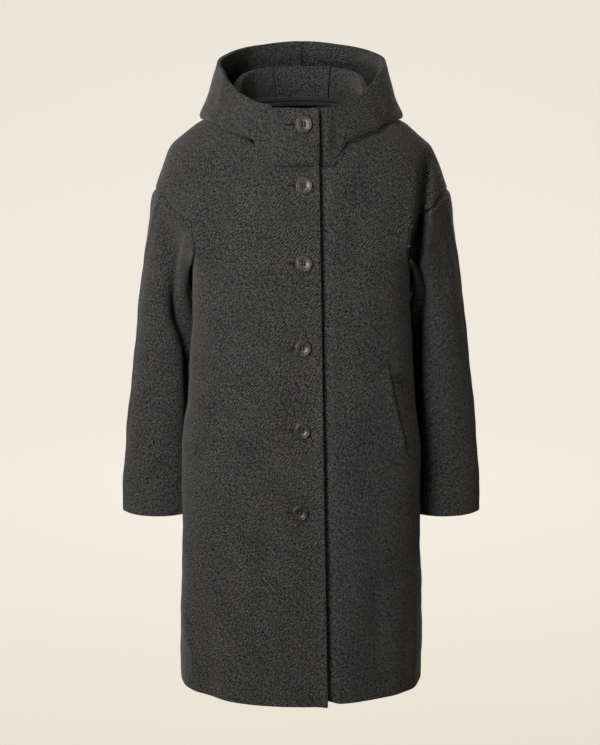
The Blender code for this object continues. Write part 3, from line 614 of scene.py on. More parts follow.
# Sleeves
# Two-piece sleeves set into a dropped armhole, with one seam over the arm and one under it.
# They hang straight, widen a little to the cuff, and the cuffs are turned up inside with no visible stitch.
CUFF = -0.654
OVERARM_SEAM, ARMHOLE_EASE, UNDERARM_SWELL = 0.10, 0.30, 0.060
SLEEVE_SEAM = 0.0016
ARMHOLE_CALM = 0.035
SLEEVE_GIRTH = 0.170
SLEEVE_ROWS, SLEEVE_CROWDING = 120, 1.25
SLEEVE_COLUMNS = {"front": 52, "back": 62}
SleeveSection = namedtuple("SleeveSection", "height outer half_width centre_depth half_depth")
SLEEVE = [
    SleeveSection(-0.1200, 0.2275, 0.0460, 0.012, 0.052),
    SleeveSection(-0.1375, 0.2345, 0.0470, 0.015, 0.056),
    SleeveSection(-0.1940, 0.2430, 0.0465, 0.023, 0.062),
    SleeveSection(-0.2750, 0.2560, 0.0470, 0.030, 0.063),
    SleeveSection(-0.3570, 0.2655, 0.0530, 0.030, 0.060),
    SleeveSection(-0.4400, 0.2750, 0.0560, 0.030, 0.0565),
    SleeveSection(-0.5100, 0.2835, 0.0585, 0.030, 0.0540),
    SleeveSection(-0.5550, 0.2870, 0.0600, 0.030, 0.0525),
    SleeveSection(-0.6200, 0.2925, 0.0615, 0.030, 0.0510),
    SleeveSection(CUFF, 0.2930, 0.0615, 0.030, 0.0505),
]
ARM = columns(SLEEVE)

# Creases of the sleeves, by the distance round from the over-arm line and the height
RIGHT_SLEEVE_CREASES = [
    Crease(0.050, -0.175, 0.134, -0.400, 0.015, -0.0220, 0.004),
    Crease(0.136, -0.300, 0.144, -0.640, 0.017, -0.0150, 0.000),
    Crease(0.050, -0.190, 0.075, -0.330, 0.012, -0.0026, 0.003),
    Crease(0.105, -0.300, 0.050, -0.400, 0.013, -0.0028, 0.004),
    Crease(0.090, -0.420, 0.046, -0.520, 0.014, -0.0022, -0.004),
    Crease(0.062, -0.520, 0.070, -0.650, 0.014, -0.0016, 0.002),
    Crease(-0.060, -0.220, -0.080, -0.360, 0.014, -0.0028, 0.004),
    Crease(-0.110, -0.330, -0.050, -0.430, 0.014, -0.0030, 0.003),
    Crease(-0.070, -0.470, -0.084, -0.640, 0.015, -0.0020, 0.003),
]
LEFT_SLEEVE_CREASES = [
    Crease(0.092, -0.085, 0.128, -0.420, 0.019, -0.0200, -0.002),
    Crease(0.138, -0.330, 0.144, -0.640, 0.017, -0.0160, 0.000),
    Crease(0.055, -0.180, 0.066, -0.300, 0.013, -0.0028, -0.003),
    Crease(0.110, -0.330, 0.060, -0.440, 0.013, -0.0026, 0.004),
    Crease(0.084, -0.460, 0.052, -0.550, 0.013, -0.0020, 0.003),
    Crease(0.060, -0.540, 0.074, -0.650, 0.015, -0.0016, -0.002),
    Crease(-0.055, -0.210, -0.074, -0.350, 0.014, -0.0026, -0.004),
    Crease(-0.115, -0.350, -0.060, -0.440, 0.014, -0.0030, 0.004),
    Crease(-0.076, -0.480, -0.070, -0.640, 0.016, -0.0022, -0.003),
]


def armhole_point(share):
    """Armhole seam of the wearer's left side: positive shares at the front, negative at the back."""
    height = ARM_SEAM_HEIGHT(np.abs(share))
    return body_point(np.where(share >= 0, FRONT_ARMHOLE(height), BACK_ARMHOLE(height)), height)


def tube_point(share, height):
    """Free-hanging sleeve round its own axis, from the over-arm line (0) to the inside (1)."""
    angle = math.pi * share
    x = ARM["outer"](height) - ARM["half_width"](height) * (1.0 - np.cos(angle))
    y = ARM["centre_depth"](height) - ARM["half_depth"](height) * np.sin(angle)
    return np.stack([x, y, height], axis=-1)


def sleeve_point(side, share, down):
    """Outer face of a sleeve, from the armhole seam (0) to the cuff (1)."""
    start = armhole_point(share)
    height = blend(start[..., 2], CUFF, down)
    left = np.maximum(1.0 - down / ARMHOLE_EASE, 0.0)
    points = tube_point(share, height) + (start - tube_point(share, start[..., 2])) * left[..., None] ** 2
    points[..., 0] += UNDERARM_SWELL * share ** 2 * (1.0 - left) * left ** 2
    points[..., 0] *= side
    return points


sleeve_rows = blend(SLEEVE_SEAM, 1.0, np.linspace(1.0, 0.0, SLEEVE_ROWS) ** SLEEVE_CROWDING)
sleeve_spans = {"front": (OVERARM_SEAM + SLEEVE_SEAM, 1.0 - SLEEVE_SEAM),
                "back": (SLEEVE_SEAM - 1.0, OVERARM_SEAM - SLEEVE_SEAM)}
for word, side, creases in (("right", -1, RIGHT_SLEEVE_CREASES), ("left", 1, LEFT_SLEEVE_CREASES)):
    for half, span in sleeve_spans.items():
        ring = np.linspace(*span, SLEEVE_COLUMNS[half])
        share, down = np.meshgrid(ring[::-side], sleeve_rows, indexing="ij")
        points = sleeve_point(side, share, down)
        if side > 0:
            points = folded(points)
        over_first = (half == "front") == (side < 0)
        first, last, up, below = edge_distance(points)
        round_arm = (first if over_first else last) * (side if half == "front" else -side)
        drawn = creased(share * SLEEVE_GIRTH, points[..., 2], creases)
        relief = hand(points) + drawn * soft_step(below / ARMHOLE_CALM)
        edges = ("ridge seam" if over_first else "seam ridge") + " turned under"
        panel = cloth(f"sleeve_{word}_{half}", points, np.stack([round_arm, up], axis=-1), edges, relief)

# Hood
# Two halves joined by a crown seam and let into the neck, with a narrow stand between two seams at the nape.
# It lies down: the cloth rises from the neck, rolls over and falls as a bag behind, up to the rim.
CORNER_RADIUS = 0.009
STAND_TURN, STAND_TOP = 152.0, 2.4
FLAT_EVENNESS = 0.8
STAND_SEAM_TURN, STAND_SEAM_KNOT, CROWN_SEAM_TURN = 0.15, 0.01, 0.02
HoodProfile = namedtuple("HoodProfile", "turn stand crest fall bag corner wall rim")
HOOD = [
    HoodProfile(0.0, (0.001, 0.012), (0.001, 0.025), (0.001, 0.037), (0.000, 0.050),
                (-0.002, 0.062), (-0.005, 0.073), (-0.009, 0.0855)),
    HoodProfile(10.0, (0.001, 0.012), (0.0015, 0.024), (0.0015, 0.036), (0.000, 0.048),
                (-0.002, 0.060), (-0.006, 0.072), (-0.011, 0.0865)),
    HoodProfile(14.0, (-0.005, 0.010), (-0.008, 0.020), (-0.009, 0.030), (-0.009, 0.041),
                (-0.009, 0.053), (-0.010, 0.067), (-0.012, 0.0845)),
    HoodProfile(20.0, (-0.0015, 0.004), (-0.001, 0.008), (0.001, 0.0125), (0.003, 0.018),
                (0.003, 0.026), (-0.002, 0.039), (-0.011, 0.0655)),
    HoodProfile(27.0, (0.003, 0.001), (0.006, 0.001), (0.009, 0.001), (0.012, 0.003),
                (0.013, 0.009), (0.007, 0.028), (-0.0085, 0.0555)),
    HoodProfile(45.0, (0.004, 0.002), (0.009, 0.001), (0.015, -0.003), (0.023, -0.008),
                (0.029, -0.004), (0.022, 0.016), (0.007, 0.0520)),
    HoodProfile(60.0, (0.000, 0.014), (0.005, 0.019), (0.015, 0.008), (0.031, -0.0120),
                (0.044, -0.008), (0.036, 0.014), (0.0215, 0.0610)),
    HoodProfile(90.0, (-0.006, 0.024), (-0.002, 0.036), (0.016, 0.018), (0.049, -0.0145),
                (0.058, -0.010), (0.0435, 0.020), (0.0300, 0.067)),
    HoodProfile(120.0, (0.000, 0.030), (0.006, 0.046), (0.030, 0.014), (0.058, -0.040),
                (0.074, -0.030), (0.072, 0.020), (0.054, 0.075)),
    HoodProfile(150.0, (0.007, 0.030), (0.018, 0.048), (0.042, -0.010), (0.074, -0.105),
                (0.094, -0.094), (0.098, -0.020), (0.082, 0.0825)),
    HoodProfile(180.0, (0.008, 0.030), (0.019, 0.047), (0.046, -0.030), (0.076, -0.138),
                (0.098, -0.125), (0.106, -0.045), (0.082, 0.0875)),
]
NeckFacing = namedtuple("NeckFacing", "turn angle")
NECK_FACINGS = [
    NeckFacing(0.0, 0.0),
    NeckFacing(10.0, 7.0),
    NeckFacing(20.0, 32.0),
    NeckFacing(27.0, 52.0),
    NeckFacing(35.0, 68.0),
    NeckFacing(45.0, 80.0),
    NeckFacing(60.0, 86.0),
    NeckFacing(75.0, 89.0),
    NeckFacing(90.0, 97.0),
    NeckFacing(105.0, 118.0),
    NeckFacing(120.0, 136.0),
    NeckFacing(150.0, 164.0),
    NeckFacing(180.0, 180.0),
]
HOOD_KNOTS = len(HoodProfile._fields) - 1
hood_round = [HOOD[1]._replace(turn=-HOOD[1].turn)] + HOOD + [HOOD[-2]._replace(turn=360.0 - HOOD[-2].turn)]
hood_turns = [row.turn for row in hood_round]
HOOD_OUT = [Curve(hood_turns, [row[k][0] for row in hood_round]) for k in range(1, HOOD_KNOTS + 1)]
HOOD_UP = [Curve(hood_turns, [row[k][1] for row in hood_round]) for k in range(1, HOOD_KNOTS + 1)]
NECK_FACING = columns(NECK_FACINGS)["angle"]


def neck_point(turn):
    return body_point(turn, NECK_SEAM(np.abs(turn)))


def hood_point(turn, knot):
    """Outer face of the hood: knot 0 is the neck seam and the last knot is the rim."""
    turn, knot = np.broadcast_arrays(np.asarray(turn, float), np.asarray(knot, float))
    facing = np.radians(np.copysign(NECK_FACING(np.abs(turn)), turn))
    outward = np.stack([np.sin(facing), -np.cos(facing), 0.0 * turn], axis=-1)
    outs = np.stack([0.0 * turn] + [curve(np.abs(turn)) for curve in HOOD_OUT])
    ups = np.stack([0.0 * turn] + [curve(np.abs(turn)) for curve in HOOD_UP])
    i = np.minimum(knot.astype(int), HOOD_KNOTS - 1)
    t = knot - i
    weights = (-0.5 * t * (1 - t) ** 2, 1 - 2.5 * t ** 2 + 1.5 * t ** 3,
               0.5 * t + 2 * t ** 2 - 1.5 * t ** 3, -0.5 * t ** 2 * (1 - t))
    out, up = 0.0 * turn, 0.0 * turn + SEAM_GAP
    for weight, step in zip(weights, (-1, 0, 1, 2)):
        j = np.clip(i + step, 0, HOOD_KNOTS)[None]
        out = out + weight * np.take_along_axis(outs, j, axis=0)[0]
        up = up + weight * np.take_along_axis(ups, j, axis=0)[0]
    points = neck_point(turn) + outward * out[..., None]
    points[..., 2] += up
    return points


def hood_front_point(turn, knot, edge_turn):
    """Hood point with the upper front corner of the rim rounded off."""
    from_edge = np.abs(neck_point(turn)[..., 0] - neck_point(edge_turn)[..., 0])
    inset = np.maximum(CORNER_RADIUS - from_edge, 0.0)
    drop = CORNER_RADIUS - np.sqrt(CORNER_RADIUS ** 2 - inset ** 2)
    return hood_point(turn, knot * (1.0 - drop / HOOD_FRONT_HEIGHT))


def denser(values, parts):
    """The values with each step between them cut into equal parts."""
    steps = [np.linspace(a, b, parts, endpoint=False) for a, b in zip(values, values[1:])]
    return np.concatenate(steps + [np.array(values[-1:])])


def hood_flat(points, turn, front_first):
    """Flat place on a hood half: round the neck from the front edge, and up from the neck seam."""
    across, back_across, along, _ = edge_distance(points)
    round_neck = across if front_first else back_across
    middle = round_neck.shape[1] // 2
    rise = NECK_SEAM(np.abs(turn)) - NECK_SEAM(0.0)
    even = blend(round_neck, round_neck[:, middle:middle + 1], FLAT_EVENNESS)
    return np.stack([even, along + rise], axis=-1)


HOOD_ROWS = [0.0, 0.06, 0.5, 1.0, 1.5, 2.0, STAND_TOP, 3.0, 3.5, 4.0, 4.5, 5.0, 5.5, 6.0, 6.5, 6.94, 7.0]
CORNER_COLUMNS = [0.0, 0.22, 0.55, 1.0]
LAP_TURNS = [-4.0, 0.0, 4.0, 8.0, 13.0]
ROUND_NECK = [20.0, 27.0, 35.0, 45.0, 58.0, 73.0, 90.0, 97.0, 106.0, 120.0, 136.0]
CROWN_COLUMNS = [166.0, 178.0, 180.0 - CROWN_SEAM_TURN]
ROW_PARTS, COLUMN_PARTS = 5, 4
ROLL_KNOT = 3.0
STAND_COLUMNS, STAND_ROWS = 41, 25
# Creases of the hood, by hundreds of degrees of turn and tenths of its profile
HOOD_CREASES = [
    Crease(0.06, 0.02, 0.32, 0.01, 0.045, -0.0042, 0.0),
    Crease(-0.27, 0.02, -0.17, 0.02, 0.040, -0.0034, 0.0),
    Crease(1.26, 0.00, 1.30, 0.17, 0.035, 0.0022, 0.0),
    Crease(1.41, 0.00, 1.40, 0.17, 0.030, -0.0020, 0.0),
    Crease(-1.28, 0.00, -1.33, 0.17, 0.040, 0.0024, 0.0),
    Crease(-1.43, 0.00, -1.41, 0.17, 0.028, -0.0018, 0.0),
    Crease(0.50, 0.50, 0.72, 0.66, 0.040, -0.0015, 0.0),
    Crease(-0.46, 0.52, -0.70, 0.64, 0.045, -0.0018, 0.0),
    Crease(1.05, 0.44, 1.12, 0.66, 0.060, 0.0020, 0.0),
    Crease(-1.00, 0.46, -1.10, 0.66, 0.060, 0.0020, 0.0),
    Crease(1.30, 0.42, 1.36, 0.66, 0.050, -0.0025, 0.0),
    Crease(-1.34, 0.40, -1.37, 0.66, 0.050, -0.0028, 0.0),
]
neck_front = float(NECK_SEAM(0.0))
stand_edge = STAND_TURN - STAND_SEAM_TURN
hood_knots = denser(HOOD_ROWS, ROW_PARTS)
for word, side in (("right", -1), ("left", 1)):
    edge_x = float(lap_edge(neck_front)) if side < 0 else UNDERLAP
    turns = [-float(turn_at(edge_x - CORNER_RADIUS * share, neck_front)) for share in CORNER_COLUMNS]
    turns += [t for t in LAP_TURNS if t > turns[-1] + 1.0] + ROUND_NECK
    turns = denser(turns + [stand_edge] + CROWN_COLUMNS, COLUMN_PARTS)
    turn, knot = np.meshgrid(turns[::side], hood_knots, indexing="ij")
    points = hood_front_point(side * turn, knot, side * turns[0])
    rolled = soft_step(knot - ROLL_KNOT)
    relief = hand(points) * rolled + creased(side * turn / 100.0, knot / 10.0, HOOD_CREASES)
    if side > 0:
        points = lapped(points)
    else:
        into = (points[..., 0] - lap_edge(points[..., 2]) + CURL_REACH) / CURL_REACH
        relief += np.where(points[..., 1] < 0.0, CURL_TOP * soft_step(into) ** 2, 0.0)
    middle = (turn[:-1, :-1] + turn[1:, 1:]) / 2
    kept = ~((middle > stand_edge) & ((knot[:-1, :-1] + knot[1:, 1:]) / 2 < STAND_TOP))
    edges = "seam turned seam turned" if side < 0 else "turned seam seam turned"
    place = hood_flat(points, turn, side > 0) * (side, 1.0)
    panel = cloth(f"hood_{word}", points, place, edges, relief, kept)

stand_first = STAND_TURN + STAND_SEAM_TURN
stand_turns = np.linspace(stand_first, 360.0 - stand_first, STAND_COLUMNS)
stand_knots = np.linspace(0.0, STAND_TOP - STAND_SEAM_KNOT, STAND_ROWS)
stand_turn, stand_knot = np.meshgrid(stand_turns, stand_knots, indexing="ij")
stand_points = hood_point(np.where(stand_turn > 180.0, stand_turn - 360.0, stand_turn), stand_knot)
stand_flat = hood_flat(stand_points, 180.0 + 0.0 * stand_turn, True)
stand = cloth("hood_stand", stand_points, stand_flat, "seam seam seam seam", hand(stand_points))

# Pocket welts
# A slanted welt of the same wool lies in each pocket's mouth, with the front's turned edge open over it.
# The front swells up to that edge, and two short slanting rows of stitches close the top of the mouth.
WELT_TOP_X, WELT_TOP = 0.134, -0.388
WELT_FOOT_X, WELT_FOOT = 0.163, -0.525
WELT_WIDTH_TURN, WELT_WALL = 10.0, 0.0012
MOUTH_REACH, MOUTH_DROP, MOUTH_LIFT, WELT_LIFT, WELT_SINK = 0.60, 0.020, 0.0036, 0.0006, 0.0011
MOUTH_FOOT_FADE, MOUTH_TOP_FADE, MOUTH_SIDE_FADE = 0.14, 0.06, 1.0 / 3.0
MOUTH_COLUMNS, WELT_COLUMNS, WELT_ROWS = 14, 14, 60
TURN_STEP, HEIGHT_STEP = 0.5, 0.002
welt_top_turn = float(turn_at(WELT_TOP_X, WELT_TOP))
welt_foot_turn = float(turn_at(WELT_FOOT_X, WELT_FOOT))


def welt_place(side, share, rise):
    """Turn and height on a pocket: share 0 at the mouth's edge, 1 at the welt's back, rise 0 at its foot."""
    turn = side * (blend(welt_foot_turn, welt_top_turn, rise) + WELT_WIDTH_TURN * share)
    return turn, blend(WELT_FOOT, WELT_TOP, rise)


def outward_at(surface, a, b, step_a, step_b):
    """Points of a surface, and the unit normals there away from the coat's axis."""
    across = surface(a + step_a, b) - surface(a - step_a, b)
    along = surface(a, b + step_b) - surface(a, b - step_b)
    normals = np.cross(across, along)
    points = surface(a, b)
    inward = (normals[..., :2] * points[..., :2]).sum(axis=-1, keepdims=True) < 0.0
    return points, np.where(inward, -1.0, 1.0) * normals / np.linalg.norm(normals, axis=-1, keepdims=True)


def welt_points(side, share, rise, lift):
    """Points of a pocket at a lift over the front's face."""
    turn, height = welt_place(side, share, rise)
    points, outwards = outward_at(body_point, turn, height, TURN_STEP, HEIGHT_STEP)
    over = creased(points[..., 0], points[..., 2], FRONT_CREASES) + hand(points) + lift
    return points + over[..., None] * outwards


welt_across = np.concatenate([np.linspace(-MOUTH_REACH, 0.0, MOUTH_COLUMNS),
                              np.linspace(MOUTH_DROP, 1.0, WELT_COLUMNS)])
for word, side in (("right", -1), ("left", 1)):
    share, rise = np.meshgrid(welt_across[::side], np.linspace(0.0, 1.0, WELT_ROWS), indexing="ij")
    reached = share / MOUTH_REACH + 1.0
    swell = MOUTH_LIFT * soft_step(reached)
    lift = np.where(share > 0.0, WELT_LIFT, swell)
    inside = soft_step(rise / MOUTH_FOOT_FADE) * soft_step((1.0 - rise) / MOUTH_TOP_FADE)
    inside = inside * soft_step(reached / MOUTH_SIDE_FADE) * soft_step((1.0 - share) / MOUTH_SIDE_FADE)
    points = welt_points(side, share, rise, blend(-WELT_SINK, lift, inside))
    panel = cloth(f"welt_{word}", points, body_flat(*welt_place(side, share, rise)), "none none none none",
                  np.zeros_like(share), None, WELT_WALL)

# Buttons
# Six four-hole buttons of horn, turned with a raised rim and a dished face, sewn on with bronze thread.
# The upper three are pale bronze grey, the lower three darker brown with a swirl.
BUTTON_RADIUS, BUTTON_THICKNESS, BUTTON_RIM, BUTTON_DISH = 0.0125, 0.0042, 0.0024, 0.0025
BUTTON_HOLE_RADIUS, BUTTON_HOLE_OFFSET, BUTTON_GAP = 0.0015, 0.0029, 0.0006
BUTTON_SIDES, BUTTON_HOLE_SIDES, BOWL_STEPS = 64, 20, 6
BOWL_RISE, GROOVE_DEPTH, GROOVE_LIP = 0.75, 0.55, 0.1
BUTTON_THREAD, THREAD_LAY, THREAD_ARCH, THREAD_DIP, THREAD_POINTS = 0.0003, 0.00022, 0.0005, 0.0010, 9
KNOT_STEP, HORN_SHIFT, SPUN_MERGE = 0.05, 0.05, 0.00002
ButtonSeat = namedtuple("ButtonSeat", "x height hood_knot darkness spin")
BUTTONS = [
    ButtonSeat(0.0035, None, 5.0, 0.10, 20.0),
    ButtonSeat(0.004, -0.1040, None, 0.00, 75.0),
    ButtonSeat(0.0035, -0.2215, None, 0.05, 140.0),
    ButtonSeat(0.002, -0.3520, None, 0.40, 200.0),
    ButtonSeat(0.001, -0.4810, None, 0.80, 265.0),
    ButtonSeat(-0.002, -0.6110, None, 1.00, 320.0),
]
HORN_PALE = (0.105, 0.086, 0.072, 1.0)
HORN_GREY = (0.040, 0.032, 0.027, 1.0)
HORN_BROWN = (0.056, 0.040, 0.028, 1.0)
HORN_DARK = (0.018, 0.013, 0.010, 1.0)


HORN_SURFACE = {"Coat Weight": 0.6, "Coat Roughness": 0.34}
HornGrain = namedtuple("HornGrain", "scale detail distortion")
SWIRL, BANDS = HornGrain(95.0, 4.0, 1.6), HornGrain(320.0, 3.0, 2.5)
SWIRL_SHARE, HORN_STOPS = 0.75, ((0.40, 0.0), (0.62, 1.0))
HORN_SMOOTH, HORN_BAND_ROUGH = 0.30, 0.16


def horn_finish():
    horn, shader, start = new_finish("turned horn", HORN_SURFACE)
    place = start.node("ShaderNodeUVMap", {"uv_map": "Turned"}, {})
    darkness = start.node("ShaderNodeAttribute", {"attribute_name": "Darkness"}, {}, 2)

    def grain(kind):
        return start.node("ShaderNodeTexNoise", {}, {"Vector": place, "Scale": kind.scale,
                                                     "Detail": kind.detail, "Distortion": kind.distortion})

    swirl, bands = grain(SWIRL), grain(BANDS)
    streak = swirl * SWIRL_SHARE + bands * (1.0 - SWIRL_SHARE)
    shape = start.node("ShaderNodeValToRGB", {"stops": HORN_STOPS}, {0: streak})
    pale = start.mix(shape, HORN_GREY, HORN_PALE)
    dark = start.mix(shape, HORN_DARK, HORN_BROWN)
    start.mix(darkness, pale, dark).into(shader, "Base Color")
    (HORN_SMOOTH + bands * HORN_BAND_ROUGH).into(shader, "Roughness")
    return horn


HORN = horn_finish()


THREAD_TWIST, THREAD_DETAIL, THREAD_SURFACE = 1800.0, 2.0, {"Roughness": 0.7}


def thread_finish(name, dark, pale):
    thread, shader, start = new_finish(name, THREAD_SURFACE)
    place = start.node("ShaderNodeTexCoord", {}, {}, 3)
    twist = start.node("ShaderNodeTexNoise", {}, {"Vector": place, "Scale": THREAD_TWIST,
                                                  "Detail": THREAD_DETAIL})
    start.mix(twist, dark, pale).into(shader, "Base Color")
    return thread


# Charcoal thread: the real colour of the stitches, and also the colour of the dark lines of painted seam
# shade.
THREAD_AND_SHADE = thread_finish("charcoal thread and seam shade", (0.006, 0.006, 0.006, 1.0), (0.026, 0.025, 0.023, 1.0))
BRONZE_THREAD = thread_finish("bronze thread", (0.010, 0.008, 0.006, 1.0), (0.034, 0.028, 0.022, 1.0))


def button_seat(seat):
    """Place of a button's back on the cloth, and the turn that faces it outwards."""
    if seat.height is None:
        steps = TURN_STEP, KNOT_STEP
        point, normal = outward_at(hood_point, turn_at(seat.x, neck_front), seat.hood_knot, *steps)
    else:
        steps = TURN_STEP, HEIGHT_STEP
        point, normal = outward_at(body_point, turn_at(seat.x, seat.height), seat.height, *steps)
    lift = hand(point) + creased(point[0], point[2], FRONT_CREASES)
    return Vector(point + normal * (BUTTON_GAP + max(float(lift), 0.0))), Vector(normal)


def spun(name, profile, sides):
    """Mesh of a profile of radii and heights, spun round the upright axis."""
    made = bmesh.new()
    line = [made.verts.new((radius, 0.0, height)) for radius, height in profile]
    strip = [made.edges.new(pair) for pair in zip(line, line[1:])]
    bmesh.ops.spin(made, geom=line + strip, cent=(0, 0, 0), axis=(0, 0, 1), angle=math.tau, steps=sides)
    bmesh.ops.remove_doubles(made, verts=made.verts, dist=SPUN_MERGE)
    bmesh.ops.recalc_face_normals(made, faces=made.faces)
    mesh = bpy.data.meshes.new(name)
    made.to_mesh(mesh)
    made.free()
    return mesh


def turned_button():
    """A turned button with its four holes, lying face up at the origin."""
    rim_inside = BUTTON_RADIUS - BUTTON_RIM
    edge = BUTTON_RIM / 4
    groove = BUTTON_THICKNESS - BUTTON_DISH * GROOVE_DEPTH
    lip = groove + BUTTON_DISH * GROOVE_LIP
    bowl = [step / BOWL_STEPS for step in range(BOWL_STEPS)]
    profile = [(rim_inside * r, BUTTON_THICKNESS - BUTTON_DISH * (1.0 - BOWL_RISE * r ** 2)) for r in bowl]
    profile += [(rim_inside - edge * 0.8, lip), (rim_inside - edge * 0.3, groove), (rim_inside, lip)]
    profile += [(rim_inside + edge * 0.6, BUTTON_THICKNESS), (BUTTON_RADIUS - edge * 1.4, BUTTON_THICKNESS)]
    profile += [(BUTTON_RADIUS - edge * (1.0 - math.sin(a)), BUTTON_THICKNESS - edge * (1.35 - math.cos(a)))
                for a in (0.6, 1.1, math.pi / 2)]
    profile += [(BUTTON_RADIUS, edge), (BUTTON_RADIUS - edge, 0.0), (0.0, 0.0)]
    drill = bmesh.new()
    for corner in range(4):
        angle = math.pi / 4 + corner * math.pi / 2
        hole = bmesh.ops.create_cone(drill, cap_ends=True, segments=BUTTON_HOLE_SIDES, 
                                     radius1=BUTTON_HOLE_RADIUS, radius2=BUTTON_HOLE_RADIUS,
                                     depth=4 * BUTTON_THICKNESS)
        offset = BUTTON_HOLE_OFFSET * Vector((math.cos(angle), math.sin(angle), 0.0))
        bmesh.ops.translate(drill, verts=hole["verts"], vec=offset)
    drill_mesh = bpy.data.meshes.new("holes")
    drill.to_mesh(drill_mesh)
    drill.free()
    blank, cutter = placed("blank", spun("blank", profile, BUTTON_SIDES)), placed("holes", drill_mesh)
    drilled = blank.modifiers.new("Holes", "BOOLEAN")
    drilled.object = cutter
    drilled.solver = "EXACT"
    made = bpy.data.meshes.new_from_object(blank.evaluated_get(bpy.context.evaluated_depsgraph_get()))
    for item in (blank, cutter):
        bpy.data.objects.remove(item, do_unlink=True)
    return made


def thread_tree():
    """Nodes that run a round thread along every edge of a mesh of lines."""
    tree = bpy.data.node_groups.new("Sewn thread", "GeometryNodeTree")
    tree.interface.new_socket("Lines", in_out="INPUT", socket_type="NodeSocketGeometry")
    tree.interface.new_socket("Thickness", in_out="INPUT", socket_type="NodeSocketFloat")
    tree.interface.new_socket("Finish", in_out="INPUT", socket_type="NodeSocketMaterial")
    tree.interface.new_socket("Threads", in_out="OUTPUT", socket_type="NodeSocketGeometry")
    given = tree.nodes.new("NodeGroupInput")
    lines = tree.nodes.new("GeometryNodeMeshToCurve")
    half = tree.nodes.new("ShaderNodeMath")
    half.operation = "MULTIPLY"
    half.inputs[1].default_value = 0.5
    ring = tree.nodes.new("GeometryNodeCurvePrimitiveCircle")
    ring.inputs["Resolution"].default_value = 6
    tube = tree.nodes.new("GeometryNodeCurveToMesh")
    tube.inputs["Fill Caps"].default_value = True
    whole = tree.nodes.new("GeometryNodeRealizeInstances")
    smooth = tree.nodes.new("GeometryNodeSetShadeSmooth")
    finish = tree.nodes.new("GeometryNodeSetMaterial")
    result = tree.nodes.new("NodeGroupOutput")
    for a, b in ((given.outputs[0], lines.inputs[0]), (given.outputs[1], half.inputs[0]),
                 (half.outputs[0], ring.inputs["Radius"]), (lines.outputs[0], tube.inputs[0]),
                 (ring.outputs[0], tube.inputs[1]), (tube.outputs[0], smooth.inputs[0]),
                 (smooth.outputs[0], whole.inputs[0]), (whole.outputs[0], finish.inputs[0]),
                 (given.outputs[2], finish.inputs["Material"]), (finish.outputs[0], result.inputs[0])):
        tree.links.new(a, b)
    return tree


THREAD_TREE = thread_tree()


def sewn(name, runs, thickness, finish):
    """Threads along runs of points, as one plain piece; the same tubes also draw the dark lines of painted
    seam shade.
    """
    lines = bpy.data.meshes.new(name)
    points = [tuple(p) for run in runs for p in run]
    starts = np.cumsum([0] + [len(run) for run in runs]).tolist()
    edges = [(s + i, s + i + 1) for s, run in zip(starts, runs) for i in range(len(run) - 1)]
    lines.from_pydata(points, edges, [])
    piece = placed(name, lines)
    run_thread = piece.modifiers.new("Thread", "NODES")
    run_thread.node_group = THREAD_TREE
    inputs = [item for item in THREAD_TREE.interface.items_tree if item.in_out == "INPUT"]
    sockets = {item.name: item.identifier for item in inputs}
    run_thread[sockets["Thickness"]] = thickness
    run_thread[sockets["Finish"]] = finish
    made = bpy.data.meshes.new_from_object(piece.evaluated_get(bpy.context.evaluated_depsgraph_get()))
    piece.modifiers.clear()
    piece.data = made
    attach(piece, "root")


BUTTON_HOLE_SPACE = BUTTON_HOLE_OFFSET / math.sqrt(2.0)
button_threads = []
horn_blank = turned_button()
for number, seat in enumerate(BUTTONS, 1):
    place, normal = button_seat(seat)
    facing = normal.to_track_quat("Z", "Y").to_matrix().to_4x4()
    facing.translation = place
    mesh = horn_blank.copy()
    mesh.name = f"horn_button_{number}"
    face = mesh.uv_layers.new(name="Turned")
    local = np.array([mesh.vertices[loop.vertex_index].co[:] for loop in mesh.loops])
    angle = math.radians(seat.spin)
    face_u = local[:, 0] * math.cos(angle) - local[:, 1] * math.sin(angle) + number * HORN_SHIFT
    face_v = local[:, 0] * math.sin(angle) + local[:, 1] * math.cos(angle) + local[:, 2]
    face.data.foreach_set("uv", np.stack([face_u, face_v], axis=-1).astype(np.float32).ravel())
    dark = mesh.attributes.new("Darkness", "FLOAT", "POINT")
    dark.data.foreach_set("value", np.full(len(mesh.vertices), seat.darkness, np.float32))
    mesh.transform(facing)
    mesh.shade_smooth()
    mesh.materials.clear()
    mesh.materials.append(HORN)
    button = placed(f"horn_button_{number}", mesh)
    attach(button, "root")
    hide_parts(f"button_{number}")
    for pair in (-1, 1):
        for lay in (-THREAD_LAY, THREAD_LAY):
            run = []
            for t in np.linspace(-1.0, 1.0, THREAD_POINTS):
                top = BUTTON_THICKNESS - BUTTON_DISH + THREAD_ARCH * (1.0 - t ** 4) - THREAD_DIP * t ** 8
                run.append(facing @ Vector((BUTTON_HOLE_SPACE * pair + lay, BUTTON_HOLE_SPACE * t, top)))
            button_threads.append(run)
sewn("button_thread", button_threads, BUTTON_THREAD, BRONZE_THREAD)

# Buttonholes
# Bound slits in the upper front, worked with purl stitches in charcoal thread and closed by a bar tack.
# Each button sits at the inner end, so a longer piece of the slit shows beside the upper three. The open
# slit is a thin near-black sheet laid on the front, a painted shadow.
SLIT_WIDTH, PURL_STEP, PURL_WIDTH, TACK_HEIGHT, TACK_WIDTH = 0.0026, 0.0006, 0.0010, 0.0036, 0.0010
SLIT_TUCK, SLIT_POINT, SLIT_LIFT, SLIT_COLUMNS = 0.8, 0.05, 0.0012, 14
PURL_THREAD, PURL_LIFT, TACK_TURNS = 0.0005, 0.0006, 11
HOOD_KNOT_RISE, SLIT_KNOT_STEP = 0.0125, 0.1
SHADOW_SURFACE = {"Base Color": (0.004, 0.004, 0.004, 1.0), "Roughness": 1.0}
SLIT_LENGTHS = [0.0125, 0.0120, 0.0125, 0.0065, 0.0055, 0.0060]


